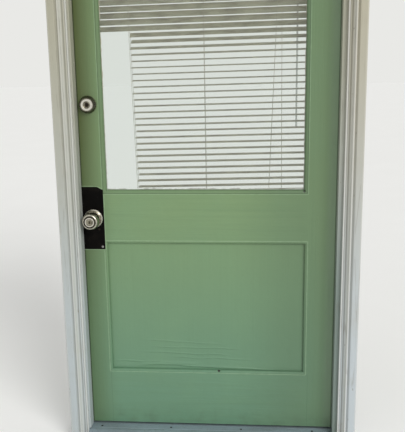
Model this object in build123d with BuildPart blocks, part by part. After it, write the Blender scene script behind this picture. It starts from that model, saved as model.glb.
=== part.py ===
from build123d import *
import os
from math import cos, radians, sin, sqrt, tan

# A half-glazed panel door in its own wooden frame. Millimetres, +Z up.
# X = 0 is the leaf's centre line, Y = 0 the leaf's outside face (outside is -Y),
# Z = 0 the underside of the sill. Latch side is -X, hinge side is +X.

# Leaf
leaf_width = 914.4
leaf_height = 2032.0
leaf_thickness = 44.45
latch_stile_width = 97.2
hinge_stile_width = 107.7
bottom_rail_height = 204.0
panel_opening_height = 493.0
lock_rail_height = 170.5
top_rail_height = 115.0
rebate_depth = 19.0
lip_width = 10.0
tenon_thickness = 12.7
tenon_length = 42.0
tenon_shoulder = 14.0
lock_tenon_height = 32.0
arris_radius = 1.2
inside_chamfer = 7.0

# Panel and glass
panel_thickness = 6.4
panel_edge_gap = 1.0
moulding_width = 8.0
moulding_setback = 1.0
glass_thickness = 4.0
glass_edge_gap = 2.0
bead_width = 13.0
bead_setback = 1.0

# Gaps round the leaf
side_gap = 3.2
head_gap = 3.2
threshold_gap = 5.0

# Frame
jamb_thickness = 38.1
jamb_depth = 88.9
stop_lap = 10.0
seal_space = 3.0
latch_stop_thickness = 13.6
sill_thickness = 19.05
sill_nose = 50.0
brickmould_width = 60.0
brickmould_thickness = 31.75
brickmould_setback = 16.3
inner_bead_radius = 2.5
latch_brickmould_setback = 6.4
joint_clearance = 0.3

# Threshold
threshold_height = 12.7
threshold_front = 62.0
threshold_back = 42.0
threshold_wall = 2.2
threshold_edge = 1.5
rib_width = 1.4
rib_height = 0.4
rib_pitch = 4.0
rib_count = 14
threshold_groove_y = -33.0
threshold_screw_y = -22.0
threshold_screw_first_x = -397.0
threshold_screw_pitch = 258.0
threshold_screw_count = 4

# Weatherstrip
seal_setback = 1.0
seal_width = 8.6
seal_clearance = 0.3
kerf_width = 2.4
kerf_depth = 8.0
barb_width = 2.0
barb_depth = 7.0
bottom_seal_width = 20.0
bottom_seal_clearance = 0.4
bottom_kerf_width = 4.0
bottom_kerf_depth = 10.0

# Hinges
hinge_height = 101.6
hinge_plate_width = 34.0
hinge_plate_thickness = 2.3
knuckle_radius = 6.35
knuckle_count = 5
knuckle_gap = 0.4
hinge_pin_radius = 3.1
pin_clearance = 0.05
pin_head_radius = 5.4
pin_head_height = 3.0
pin_cap_radius = 3.4
pin_cap_height = 1.8
barrel_standoff = 0.55
top_hinge_drop = 178.0
bottom_hinge_rise = 279.0
hinge_screw_inset = 13.0
hinge_screw_y = 14.0

# Screws
screw_head_radius = 4.2
screw_shank_radius = 2.1
screw_length = 24.0
frame_screw_length = 18.0

# Lock plate wrapped round the leaf's edge
plate_thickness = 1.2
plate_height = 224.0
plate_width = 98.2
plate_top_above_bore = 113.0
plate_corner_drop = 10.5
plate_corner_run = 21.0
plate_screw_inset = 9.0

# Knob and latch
backset = 60.3
knob_above_rail_foot = 82.2
cross_bore_radius = 27.0
edge_bore_radius = 12.7
rose_radius = 33.35
rose_thickness = 9.0
rose_rim = 2.2
rose_hole_clearance = 0.3
knob_neck_radius = 12.0
knob_radius = 29.6
knob_waist_out = 24.0
knob_widest_out = 43.0
knob_front_out = 59.0
knob_face_radius = 21.5
knob_boss_radius = 16.8
knob_boss_rise = 1.6
knob_boss_taper = 0.8
knob_face_setback = 1.2
knob_groove_depth = 3.2
knob_seat_gap = 0.5
spindle_radius = 8.0
socket_depth = 10.0
key_plug_radius = 6.4
key_plug_depth = 22.0
key_plug_proud = 0.8
keyway_width = 1.8
keyway_height = 7.6
keyway_depth = 6.0
running_clearance = 0.05
button_radius = 5.0
button_depth = 14.0
button_bar_width = 2.4
button_bar_rise = 3.0
case_radius = 12.3
case_past_axis = 14.0
latch_bolt_width = 13.9
latch_bolt_height = 15.9
latch_bolt_length = 28.0
latch_bolt_inset = 0.3
bolt_back_play = 1.5
latch_throw = 11.1
latch_case_hole_clearance = 0.2

# Deadbolt
deadbolt_above_knob = 397.2
collar_radius = 30.5
collar_front_radius = 24.0
collar_height = 19.0
cylinder_radius = 21.4
cylinder_recess_radius = 11.2
cylinder_front_out = 22.0
cylinder_recess_depth = 5.0
deadbolt_bolt_width = 12.0
deadbolt_bolt_height = 18.0
deadbolt_bolt_length = 42.0
deadbolt_face_height = 57.0
deadbolt_face_width = 25.4
deadbolt_face_thickness = 2.0
tailpiece_radius = 3.5
tailpiece_hole_radius = 5.0
inner_rose_radius = 30.0
inner_rose_thickness = 8.0
inner_rose_bevel = 5.0
turn_hub_radius = 8.0
turn_hub_length = 7.0
turn_hub_sunk = 4.0
turn_hub_grip = 4.0
turn_length = 36.0
turn_width = 8.0
turn_out = 20.0

# Strikes in the latch jamb
strike_height = 70.0
strike_width = 28.0
strike_thickness = 2.0
strike_hole_margin = 2.5
latch_pocket_depth = 14.0
strike_screw_offset = 27.0

# Wall fixings through the jambs
fixing_radius = 3.0
fixing_y = 20.0
fixing_heights = (190.0, 1650.0)

# Blind on the leaf's inside face
slat_width = 25.0
slat_thickness = 0.5
slat_crown = 1.6
slat_pitch = 21.71
lowest_slat_above_sight = 20.1
slat_left_x = -372.0
slat_right_x = 358.0
blind_standoff = 17.5
blind_slope_deg = 1.1
slat_open_tilt_deg = 8.0
slat_closed_tilt_deg = 50.0
closing_starts_height = 1300.0
closing_ends_height = 1480.0
broken_below_height = 1418.0
broken_end_past_ladder = (4.0, 1.0, 6.0, 2.0, 5.0, 0.5, 3.0)
headrail_size = 25.4
headrail_wall = 0.8
headrail_above_window = 29.0
headrail_room = 30.0
bracket_width = 14.0
bracket_wall = 1.2
bracket_play = 0.4
bottom_rail_thickness = 9.0
ladder_cord_radius = 0.6
lift_cord_radius = 0.7
cord_bite = 0.02
cord_sides = 8
ladder_top_x = (-258.0, -3.0, 242.0)
ladder_bottom_x = (-244.0, -1.5, 217.5)
lift_cord_top_x = 255.8
lift_cord_bottom_x = 261.4
wand_x = 310.0
wand_radius = 3.2
wand_bottom_height = 1089.0
wand_stem_radius = 2.5
wand_sleeve_radius = 4.6
wand_sleeve_length = 16.0
wand_gap = 2.0
tilter_width = 14.0
tilter_depth = 13.0
tilter_hole_depth = 14.0

# Places that follow from the sizes above
half_leaf = leaf_width / 2
half_rebate = half_leaf + side_gap
half_stop = half_leaf - stop_lap
half_jamb = half_stop + jamb_thickness
jamb_inside_y = leaf_thickness
jamb_outside_y = leaf_thickness - jamb_depth
stop_back_y = -seal_space
threshold_top = sill_thickness + threshold_height
leaf_bottom = threshold_top + threshold_gap
leaf_top = leaf_bottom + leaf_height
head_rebate_z = leaf_top + head_gap
head_stop_z = leaf_top - stop_lap
frame_top = head_stop_z + jamb_thickness
latch_stop_x = -half_stop + latch_stop_thickness
opening_left = -half_leaf + latch_stile_width
opening_right = half_leaf - hinge_stile_width
panel_bottom = leaf_bottom + bottom_rail_height
panel_top = panel_bottom + panel_opening_height
window_bottom = panel_top + lock_rail_height
window_top = leaf_top - top_rail_height
latch_mould_x = latch_stop_x - latch_brickmould_setback
hinge_mould_x = half_stop + brickmould_setback
head_mould_z = head_stop_z + brickmould_setback
middle_y = leaf_thickness / 2
bore_x = -half_leaf + backset
knob_z = panel_top + knob_above_rail_foot
deadbolt_z = knob_z + deadbolt_above_knob
plate_top = knob_z + plate_top_above_bore
plate_bottom = plate_top - plate_height
outside_seat_y = -plate_thickness
inside_seat_y = leaf_thickness + plate_thickness
barrel_x = half_leaf + side_gap / 2
barrel_y = leaf_thickness + knuckle_radius + barrel_standoff
hinge_names = ("bottom", "middle", "top")
bottom_hinge_z = leaf_bottom + bottom_hinge_rise + hinge_height / 2
top_hinge_z = leaf_top - top_hinge_drop - hinge_height / 2
hinge_centres = (bottom_hinge_z, (bottom_hinge_z + top_hinge_z) / 2, top_hinge_z)
blind_y = leaf_thickness + blind_standoff
lowest_slat_height = window_bottom - leaf_bottom + lowest_slat_above_sight
headrail_height = window_top - leaf_bottom + headrail_above_window
slat_count = 1 + int((headrail_height - headrail_room - lowest_slat_height) / slat_pitch)

standing = (Align.CENTER, Align.CENTER, Align.MIN)

os.makedirs("parts", exist_ok=True)


def save(name, builder):
    """Label a finished piece and write it as its own file."""
    builder.part.label = name
    export_step(builder.part, f"parts/{name}.step")


def block(x, y, z, mode=Mode.ADD):
    """A box between two limits along each axis, inside the open part."""
    middle = ((x[0] + x[1]) / 2, (y[0] + y[1]) / 2, (z[0] + z[1]) / 2)
    with Locations(middle):
        Box(abs(x[1] - x[0]), abs(y[1] - y[0]), abs(z[1] - z[0]), mode=mode)


def drill(start, direction, radius, depth, mode=Mode.SUBTRACT):
    """A round hole or pin from a point along a direction, inside the open part."""
    with Locations(Plane(origin=start, z_dir=direction)):
        Cylinder(radius, depth, align=standing, mode=mode)


def lengthwise_plane(x, z):
    """A sketch plane for sections that run along X: its x is Y and its y is Z."""
    return Plane(origin=(x, 0, z), x_dir=(0, 1, 0), z_dir=(1, 0, 0))


def span(middle, length, margin=0.0):
    """Lower and upper limit of a length about its middle, with a margin at both ends."""
    return (middle - length / 2 - margin, middle + length / 2 + margin)


def outline(points):
    """A closed face with straight sides, inside the open sketch."""
    Polygon(*points, align=None)


def countersunk_screw(head_face, direction, length, mode=Mode.ADD):
    """A flat-headed wood screw, flush at head_face and driven along direction."""
    with Locations(Plane(origin=head_face, z_dir=direction)):
        Cone(
            screw_head_radius,
            screw_shank_radius,
            screw_head_radius - screw_shank_radius,
            align=standing,
            mode=mode,
        )
    drill(head_face, direction, screw_shank_radius, length, mode)


def screw_hole(head_face, direction, length):
    """The hole that the screw above fills."""
    countersunk_screw(head_face, direction, length, Mode.SUBTRACT)


# Where the screws sit
def hinge_screw_places(face_x, centre_z):
    """Four screw points on one hinge plate."""
    rise = hinge_height / 2 - hinge_screw_inset
    near = leaf_thickness - hinge_screw_y
    far = leaf_thickness - hinge_plate_width + hinge_screw_y - 4
    return [
        (face_x, near, centre_z + rise),
        (face_x, far, centre_z + rise / 3),
        (face_x, far, centre_z - rise / 3),
        (face_x, near, centre_z - rise),
    ]


strike_centres = (knob_z, deadbolt_z)
strike_screw_places = [
    (-half_rebate, middle_y, z + side * strike_screw_offset)
    for z in strike_centres
    for side in (-1, 1)
]
plate_screw_x = -half_leaf + plate_width - plate_screw_inset
plate_screw_places = [
    (plate_screw_x, -plate_thickness, plate_bottom + plate_screw_inset),
    (plate_screw_x - plate_screw_inset, -plate_thickness, knob_z - 38.0),
]
threshold_screw_places = [
    threshold_screw_first_x + index * threshold_screw_pitch for index in range(threshold_screw_count)
]


# Sill
sill_front_y = jamb_outside_y - sill_nose
with BuildPart() as sill:
    block((-half_jamb, half_jamb), (jamb_outside_y, jamb_inside_y), (0, sill_thickness))
    block(
        (latch_mould_x + joint_clearance, hinge_mould_x - joint_clearance),
        (sill_front_y, jamb_outside_y),
        (0, sill_thickness),
    )
    nose = sill.edges().filter_by(Axis.X).group_by(Axis.Y)[0].group_by(Axis.Z)[-1]
    fillet(nose, radius=sill_thickness / 3)
save("sill", sill)


# Threshold, a ribbed hollow section notched round the two stops
def threshold_surface(y):
    """Height of the threshold's top above the sill at a given Y."""
    slope_start = -threshold_front + 16.0
    if y <= slope_start:
        share = (y + threshold_front) / (slope_start + threshold_front)
        return threshold_edge + share * (threshold_height * 0.68 - threshold_edge)
    if y <= 0:
        share = (y - slope_start) / -slope_start
        return threshold_height * (0.68 + 0.28 * share)
    return threshold_height


threshold_rise_y = -threshold_front + 16.0
threshold_drop_y = threshold_back - 6.0
rib_rows = [-rib_pitch * (index + 1) for index in range(rib_count)]
groove_width = 3.0
groove_depth = 1.2
with BuildPart() as threshold:
    with BuildSketch(lengthwise_plane(-half_rebate + joint_clearance, sill_thickness)):
        outline([
            (-threshold_front, 0),
            (-threshold_front, threshold_edge),
            (threshold_rise_y, threshold_surface(threshold_rise_y)),
            (0, threshold_surface(0)),
            (4, threshold_height),
            (threshold_drop_y, threshold_height),
            (threshold_back, threshold_edge),
            (threshold_back, 0),
        ])
        for rib_y in rib_rows:
            if abs(rib_y - threshold_groove_y) > groove_width:
                with Locations((rib_y, threshold_surface(rib_y))):
                    Rectangle(rib_width, 2 * rib_height)
        with Locations((threshold_groove_y, threshold_surface(threshold_groove_y))):
            Rectangle(groove_width, 2 * groove_depth, mode=Mode.SUBTRACT)
        for hollow in ((threshold_rise_y + 4, -14.0), (-8.0, threshold_drop_y - 4)):
            roof = [(y, threshold_surface(y) - threshold_wall - groove_depth) for y in hollow]
            Polygon((hollow[0], 0), roof[0], roof[1], (hollow[1], 0), align=None, mode=Mode.SUBTRACT)
    extrude(amount=2 * (half_rebate - joint_clearance))
    for side in (-1, 1):
        block(
            (side * (half_stop - joint_clearance), side * half_rebate),
            (-threshold_front - 1, stop_back_y + joint_clearance),
            (sill_thickness - 1, threshold_top + 2),
            Mode.SUBTRACT,
        )
    block(
        (-half_rebate, latch_mould_x + joint_clearance),
        (-threshold_front - 1, jamb_outside_y + joint_clearance),
        (sill_thickness - 1, threshold_top + 2),
        Mode.SUBTRACT,
    )
    for screw_x in threshold_screw_places:
        head_z = sill_thickness + threshold_surface(threshold_screw_y)
        screw_hole((screw_x, threshold_screw_y, head_z), (0, 0, -1), threshold_height + 2)
        drill((screw_x, threshold_screw_y, head_z), (0, 0, 1), screw_head_radius + 0.3, 2.0)
save("threshold", threshold)

with BuildPart() as threshold_screws:
    for screw_x in threshold_screw_places:
        head_z = sill_thickness + threshold_surface(threshold_screw_y)
        countersunk_screw((screw_x, threshold_screw_y, head_z), (0, 0, -1), head_z - sill_thickness)
save("threshold_screws", threshold_screws)


# Side jambs, L-shaped in plan, with a kerf for the weatherstrip
kerf_centre = half_stop + seal_setback + seal_width / 2


def side_jamb(side):
    """One side jamb. Side is -1 for the latch jamb and 1 for the hinge jamb."""
    with BuildPart() as jamb:
        with BuildSketch(Plane.XY.offset(sill_thickness)):
            outline([
                (side * half_stop, jamb_outside_y),
                (side * half_jamb, jamb_outside_y),
                (side * half_jamb, jamb_inside_y),
                (side * half_rebate, jamb_inside_y),
                (side * half_rebate, stop_back_y),
                (side * half_stop, stop_back_y),
            ])
        extrude(amount=head_rebate_z - sill_thickness)
        block(
            (side * (half_stop - 1), side * (half_jamb + 1)),
            (jamb_outside_y - 1, stop_back_y),
            (head_stop_z, head_rebate_z + 1),
            Mode.SUBTRACT,
        )
        block(
            (side * (kerf_centre - kerf_width / 2), side * (kerf_centre + kerf_width / 2)),
            (stop_back_y - kerf_depth, stop_back_y),
            (threshold_top, head_stop_z),
            Mode.SUBTRACT,
        )
        for height in fixing_heights:
            drill((side * (half_rebate - 1), fixing_y, height), (side, 0, 0), fixing_radius, jamb_thickness)
        if side < 0:
            cut_strike_pockets()
        else:
            cut_hinge_gains(half_rebate, 1)
    return jamb


def cut_strike_pockets():
    """Recesses for the strike plates, and the pockets that the bolts enter."""
    for centre in strike_centres:
        block(
            (-half_rebate - strike_thickness, -half_rebate),
            (middle_y - strike_width / 2, jamb_inside_y),
            span(centre, strike_height),
            Mode.SUBTRACT,
        )
    block(
        (-half_rebate - latch_pocket_depth, -half_rebate),
        span(middle_y, latch_bolt_width, strike_hole_margin),
        span(knob_z, latch_bolt_height, strike_hole_margin),
        Mode.SUBTRACT,
    )
    block(
        (-half_jamb - 1, -half_rebate),
        span(middle_y, deadbolt_bolt_width, strike_hole_margin),
        span(deadbolt_z, deadbolt_bolt_height, strike_hole_margin),
        Mode.SUBTRACT,
    )
    for place in strike_screw_places:
        screw_hole(place, (-1, 0, 0), frame_screw_length)


def cut_hinge_gains(face_x, side):
    """Recesses for three hinge plates in a face, and their screw holes."""
    for centre in hinge_centres:
        block(
            (face_x, face_x + side * hinge_plate_thickness),
            (leaf_thickness - hinge_plate_width, leaf_thickness),
            span(centre, hinge_height),
            Mode.SUBTRACT,
        )
        length = frame_screw_length if side > 0 else screw_length
        for place in hinge_screw_places(face_x, centre):
            screw_hole(place, (side, 0, 0), length)


latch_jamb = side_jamb(-1)
save("latch_jamb", latch_jamb)
hinge_jamb = side_jamb(1)
save("hinge_jamb", hinge_jamb)

# Head jamb, resting on both side jambs
with BuildPart() as head_jamb:
    with BuildSketch(lengthwise_plane(-half_jamb, 0)):
        outline([
            (jamb_outside_y, head_stop_z),
            (stop_back_y, head_stop_z),
            (stop_back_y, head_rebate_z),
            (jamb_inside_y, head_rebate_z),
            (jamb_inside_y, frame_top),
            (jamb_outside_y, frame_top),
        ])
    extrude(amount=2 * half_jamb)
    head_kerf_z = head_stop_z + seal_setback + seal_width / 2
    block(
        (-half_stop, half_stop),
        (stop_back_y - kerf_depth, stop_back_y),
        (head_kerf_z - kerf_width / 2, head_kerf_z + kerf_width / 2),
        Mode.SUBTRACT,
    )
save("head_jamb", head_jamb)

# Planted stop that fills out the latch jamb
latch_stop_foot = sill_thickness + threshold_surface(0) + rib_height + joint_clearance
with BuildPart() as latch_stop:
    block((-half_stop, latch_stop_x), (jamb_outside_y, stop_back_y), (latch_stop_foot, head_stop_z))
    stop_arris = latch_stop.edges().filter_by(Axis.Z).group_by(Axis.X)[-1].group_by(Axis.Y)[0]
    fillet(stop_arris, radius=2 * arris_radius)
save("latch_stop", latch_stop)


# Brickmould: a small bead at the leaf's side, a cove, a round bead, a groove and a flat back band
def brickmould_section():
    """The moulding's section: x outward from the leaf, y out from the jamb."""
    full = brickmould_thickness
    foot = full * 0.32
    bead = inner_bead_radius
    with BuildSketch() as section:
        with BuildLine():
            Polyline((0, foot), (0, 0), (brickmould_width, 0), (brickmould_width, full - 2))
            Line((brickmould_width, full - 2), (brickmould_width - 2, full))
            Line((brickmould_width - 2, full), (37.0, full))
            ThreePointArc((37.0, full), (34.6, full - 1.0), (33.6, full - 3.4))
            Line((33.6, full - 3.4), (29.0, full - 6.5))
            Line((29.0, full - 6.5), (27.6, full - 4.6))
            ThreePointArc((27.6, full - 4.6), (24.2, full - 2.9), (21.4, full - 5.6))
            Line((21.4, full - 5.6), (20.4, full - 8.4))
            ThreePointArc((20.4, full - 8.4), (12.0, full * 0.46), (7.0, full * 0.4))
            Line((7.0, full * 0.4), (2 * bead + 0.6, foot - 1))
            Polyline((2 * bead + 0.6, foot - 1), (2 * bead, foot - 1), (2 * bead, foot))
            ThreePointArc((2 * bead, foot), (bead, foot + bead), (0, foot))
        make_face()
    return section.sketch


mould_outer_top = head_mould_z + brickmould_width
latch_mitre = Plane(origin=(latch_mould_x, 0, head_mould_z), z_dir=(1, 0, 1))
hinge_mitre = Plane(origin=(hinge_mould_x, 0, head_mould_z), z_dir=(-1, 0, 1))

with BuildPart() as latch_brickmould:
    with BuildSketch(Plane(origin=(latch_mould_x, jamb_outside_y, 0), x_dir=(-1, 0, 0), z_dir=(0, 0, 1))):
        add(brickmould_section())
    extrude(amount=mould_outer_top)
    split(bisect_by=latch_mitre, keep=Keep.BOTTOM)
save("latch_brickmould", latch_brickmould)

with BuildPart() as hinge_brickmould:
    with BuildSketch(Plane(origin=(hinge_mould_x, jamb_outside_y, 0), x_dir=(1, 0, 0), z_dir=(0, 0, -1))):
        add(brickmould_section())
    extrude(amount=-mould_outer_top)
    split(bisect_by=hinge_mitre, keep=Keep.BOTTOM)
save("hinge_brickmould", hinge_brickmould)

with BuildPart() as head_brickmould:
    head_start = latch_mould_x - brickmould_width
    head_length = hinge_mould_x + brickmould_width - head_start
    head_corner = (head_start, jamb_outside_y, head_mould_z)
    with BuildSketch(Plane(origin=head_corner, x_dir=(0, 0, 1), z_dir=(1, 0, 0))):
        add(brickmould_section())
    extrude(amount=head_length)
    split(bisect_by=latch_mitre, keep=Keep.TOP)
    split(bisect_by=hinge_mitre, keep=Keep.TOP)
save("head_brickmould", head_brickmould)

# Weatherstrips in the kerfs, the latch one trimmed back behind the lock plate
seal_face_y = -seal_clearance
seal_near = half_stop + seal_setback
seal_far = seal_near + seal_width


def side_weatherstrip(side):
    """The seal on one side jamb."""
    with BuildPart() as seal:
        block((side * seal_near, side * seal_far), (stop_back_y, seal_face_y), (threshold_top, leaf_top))
        block(
            (side * (kerf_centre - barb_width / 2), side * (kerf_centre + barb_width / 2)),
            (stop_back_y - barb_depth, stop_back_y),
            (threshold_top, head_stop_z),
        )
        if side < 0:
            block(
                (-seal_near + 1, -seal_far - 1),
                (-plate_thickness - seal_clearance, 0),
                (plate_bottom - 1, plate_top + 1),
                Mode.SUBTRACT,
            )
    return seal


latch_weatherstrip = side_weatherstrip(-1)
save("latch_weatherstrip", latch_weatherstrip)
hinge_weatherstrip = side_weatherstrip(1)
save("hinge_weatherstrip", hinge_weatherstrip)
with BuildPart() as head_weatherstrip:
    head_seal_low = head_stop_z + seal_setback
    block((-seal_near, seal_near), (stop_back_y, seal_face_y), (head_seal_low, head_seal_low + seal_width))
    block(
        (-half_stop, half_stop),
        (stop_back_y - barb_depth, stop_back_y),
        (head_kerf_z - barb_width / 2, head_kerf_z + barb_width / 2),
    )
save("head_weatherstrip", head_weatherstrip)


# Strike plates
def strike_plate(centre, hole_width, hole_height):
    """A plate let into the latch jamb, with the hole that its bolt enters."""
    with BuildPart() as strike:
        block(
            (-half_rebate - strike_thickness, -half_rebate),
            (middle_y - strike_width / 2, jamb_inside_y),
            span(centre, strike_height),
        )
        corners = strike.edges().filter_by(Axis.X).group_by(Axis.Y)[0]
        fillet(corners, radius=3)
        block(
            (-half_rebate - strike_thickness - 1, -half_rebate + 1),
            span(middle_y, hole_width, strike_hole_margin),
            span(centre, hole_height, strike_hole_margin),
            Mode.SUBTRACT,
        )
        for side in (-1, 1):
            place = (-half_rebate, middle_y, centre + side * strike_screw_offset)
            screw_hole(place, (-1, 0, 0), frame_screw_length)
    return strike


latch_strike = strike_plate(knob_z, latch_bolt_width, latch_bolt_height)
save("latch_strike", latch_strike)
deadbolt_strike = strike_plate(deadbolt_z, deadbolt_bolt_width, deadbolt_bolt_height)
save("deadbolt_strike", deadbolt_strike)


# Hinges: two plates with interleaved knuckles on a loose pin
knuckle_pitch = hinge_height / knuckle_count


def hinge_plate(centre, face_x, side, knuckles):
    """One hinge plate with its own knuckles round the shared pin."""
    with BuildPart() as plate:
        block(
            (face_x, face_x + side * hinge_plate_thickness),
            (leaf_thickness - hinge_plate_width, leaf_thickness),
            span(centre, hinge_height),
        )
        for index in knuckles:
            low = centre - hinge_height / 2 + index * knuckle_pitch + knuckle_gap / 2
            block(
                (face_x, face_x + side * hinge_plate_thickness),
                (leaf_thickness, barrel_y),
                (low, low + knuckle_pitch - knuckle_gap),
            )
            drill((barrel_x, barrel_y, low), (0, 0, 1), knuckle_radius, knuckle_pitch - knuckle_gap, Mode.ADD)
        bore_low = centre - hinge_height / 2 - 1
        drill((barrel_x, barrel_y, bore_low), (0, 0, 1), hinge_pin_radius + pin_clearance, hinge_height + 2)
        for place in hinge_screw_places(face_x, centre):
            screw_hole(place, (side, 0, 0), screw_length)
    return plate


for hinge_name, centre in zip(hinge_names, hinge_centres):
    frame_hinge_plate = hinge_plate(centre, half_rebate, 1, range(0, knuckle_count, 2))
    save(f"frame_hinge_plate_{hinge_name}", frame_hinge_plate)
    leaf_hinge_plate = hinge_plate(centre, half_leaf, -1, range(1, knuckle_count, 2))
    save(f"leaf_hinge_plate_{hinge_name}", leaf_hinge_plate)

with BuildPart() as hinge_pins:
    for centre in hinge_centres:
        low = centre - hinge_height / 2
        drill((barrel_x, barrel_y, low), (0, 0, 1), hinge_pin_radius, hinge_height, Mode.ADD)
        for end, direction in ((low + knuckle_gap / 2, -1), (low + hinge_height - knuckle_gap / 2, 1)):
            drill((barrel_x, barrel_y, end), (0, 0, direction), pin_head_radius, pin_head_height, Mode.ADD)
            cap_start = (barrel_x, barrel_y, end + direction * pin_head_height)
            with Locations(Plane(origin=cap_start, z_dir=(0, 0, direction))):
                Cone(pin_head_radius, pin_cap_radius, pin_cap_height, align=standing)
save("hinge_pins", hinge_pins)

with BuildPart() as frame_screws:
    for centre in hinge_centres:
        for place in hinge_screw_places(half_rebate, centre):
            countersunk_screw(place, (1, 0, 0), frame_screw_length)
    for place in strike_screw_places:
        countersunk_screw(place, (-1, 0, 0), frame_screw_length)
save("frame_screws", frame_screws)

with BuildPart() as leaf_screws:
    for centre in hinge_centres:
        for place in hinge_screw_places(half_leaf, centre):
            countersunk_screw(place, (-1, 0, 0), screw_length)
    for place in plate_screw_places:
        countersunk_screw(place, (0, 1, 0), screw_length)
save("leaf_screws", leaf_screws)


# Stiles, rebated from the outside along the whole inner edge
rail_zones = {
    "bottom": (leaf_bottom, panel_bottom),
    "lock": (panel_top, window_bottom),
    "top": (window_top, leaf_top),
}


def tenon_heights(rail):
    """Height ranges of a rail's tenons. The lock rail has two, clear of the lock."""
    low, high = rail_zones[rail]
    if rail == "lock":
        return [
            (low + tenon_shoulder, low + tenon_shoulder + lock_tenon_height),
            (high - tenon_shoulder - lock_tenon_height, high - tenon_shoulder),
        ]
    return [(low + tenon_shoulder, high - tenon_shoulder)]


tenon_low_y = rebate_depth + 4.0
tenon_y = (tenon_low_y, tenon_low_y + tenon_thickness)


def cut_mortises(shoulder_x, lip_x, side):
    """Mortises for all three rails. Side points from the opening into the stile."""
    for rail in rail_zones:
        for heights in tenon_heights(rail):
            block((lip_x, shoulder_x + side * tenon_length), tenon_y, heights, Mode.SUBTRACT)


def cut_lock_bores():
    """Cross bores and edge bores of the knob and the deadbolt."""
    for height in (knob_z, deadbolt_z):
        drill((bore_x, -1, height), (0, 1, 0), cross_bore_radius, leaf_thickness + 2)
        drill((-half_leaf - 1, middle_y, height), (1, 0, 0), edge_bore_radius, backset + 1)


def cut_plate_edge_recess():
    """The lock plate's edge flange is let in flush."""
    block(
        (-half_leaf, -half_leaf + plate_thickness),
        (0, leaf_thickness),
        (plate_bottom, plate_top),
        Mode.SUBTRACT,
    )


# Chamfers round both openings on the inside face, taken off stiles and rails alike
sight_middle_x = (opening_left + opening_right) / 2
sight_width = opening_right - opening_left - 2 * lip_width
with BuildPart() as inside_chamfers:
    for low, high in ((panel_bottom, panel_top), (window_bottom, window_top)):
        chamfer_start = (sight_middle_x, leaf_thickness - inside_chamfer, (low + high) / 2)
        with BuildSketch(Plane(origin=chamfer_start, x_dir=(1, 0, 0), z_dir=(0, 1, 0))):
            Rectangle(sight_width, high - low - 2 * lip_width)
        extrude(amount=inside_chamfer + 1, taper=-45)

with BuildPart() as latch_stile:
    block((-half_leaf, opening_left), (0, leaf_thickness), (leaf_bottom, leaf_top))
    block((opening_left, opening_left + lip_width), (rebate_depth, leaf_thickness), (leaf_bottom, leaf_top))
    cut_mortises(opening_left, opening_left + lip_width, -1)
    cut_lock_bores()
    cut_plate_edge_recess()
    block(
        (-half_leaf, -half_leaf + deadbolt_face_thickness),
        span(middle_y, deadbolt_face_width),
        span(deadbolt_z, deadbolt_face_height),
        Mode.SUBTRACT,
    )
    block(
        (-half_leaf - 1, opening_left + lip_width + 1),
        span(middle_y, bottom_kerf_width),
        (leaf_bottom, leaf_bottom + bottom_kerf_depth),
        Mode.SUBTRACT,
    )
    for place in plate_screw_places:
        screw_hole(place, (0, 1, 0), screw_length)
    add(inside_chamfers.part, mode=Mode.SUBTRACT)
save("latch_stile", latch_stile)

with BuildPart() as hinge_stile:
    block((opening_right, half_leaf), (0, leaf_thickness), (leaf_bottom, leaf_top))
    block((opening_right - lip_width, opening_right), (rebate_depth, leaf_thickness), (leaf_bottom, leaf_top))
    cut_mortises(opening_right, opening_right - lip_width, 1)
    cut_hinge_gains(half_leaf, -1)
    block(
        (opening_right - lip_width - 1, half_leaf + 1),
        span(middle_y, bottom_kerf_width),
        (leaf_bottom, leaf_bottom + bottom_kerf_depth),
        Mode.SUBTRACT,
    )
    add(inside_chamfers.part, mode=Mode.SUBTRACT)
save("hinge_stile", hinge_stile)


# Rails, with a lip at each edge that faces an opening
def rail_piece(rail):
    """A rail between the stiles, tenoned at both ends."""
    low, high = rail_zones[rail]
    lip_low = low if rail == "bottom" else low - lip_width
    lip_high = high if rail == "top" else high + lip_width
    inner = (opening_left + lip_width, opening_right - lip_width)
    with BuildPart() as piece:
        block((opening_left, opening_right), (0, rebate_depth), (low, high))
        block(inner, (rebate_depth, leaf_thickness), (lip_low, lip_high))
        for heights in tenon_heights(rail):
            block((opening_left - tenon_length, opening_right + tenon_length), tenon_y, heights)
        if rail == "bottom":
            block(
                (opening_left - 1, opening_right + 1),
                span(middle_y, bottom_kerf_width),
                (low, low + bottom_kerf_depth),
                Mode.SUBTRACT,
            )
        if rail == "lock":
            for place in plate_screw_places:
                screw_hole(place, (0, 1, 0), screw_length)
        add(inside_chamfers.part, mode=Mode.SUBTRACT)
    return piece


for rail in rail_zones:
    save(f"{rail}_rail", rail_piece(rail))

# Lower panel and the glass pane, each laid against the lip
with BuildPart() as lower_panel:
    block(
        (opening_left + panel_edge_gap, opening_right - panel_edge_gap),
        (rebate_depth - panel_thickness, rebate_depth),
        (panel_bottom + panel_edge_gap, panel_top - panel_edge_gap),
    )
save("lower_panel", lower_panel)

with BuildPart() as glass_pane:
    block(
        (opening_left + glass_edge_gap, opening_right - glass_edge_gap),
        (rebate_depth - glass_thickness, rebate_depth),
        (window_bottom + glass_edge_gap, window_top - glass_edge_gap),
    )
save("glass_pane", glass_pane)


# Mitred strips that hold the panel and the glass from the outside
def strip_section(width, height):
    """A strip's ovolo section: x into the opening, y out from the pane."""
    edge = height * 0.22
    flat = width * 0.26
    corner = (width - (width - flat) * (1 - sqrt(0.5)), edge + (height - edge) * sqrt(0.5))
    with BuildSketch() as section:
        with BuildLine():
            Polyline((0, height), (0, 0), (width, 0), (width, edge))
            ThreePointArc((width, edge), corner, (flat, height))
            Line((flat, height), (0, height))
        make_face()
    return section.sketch


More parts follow.
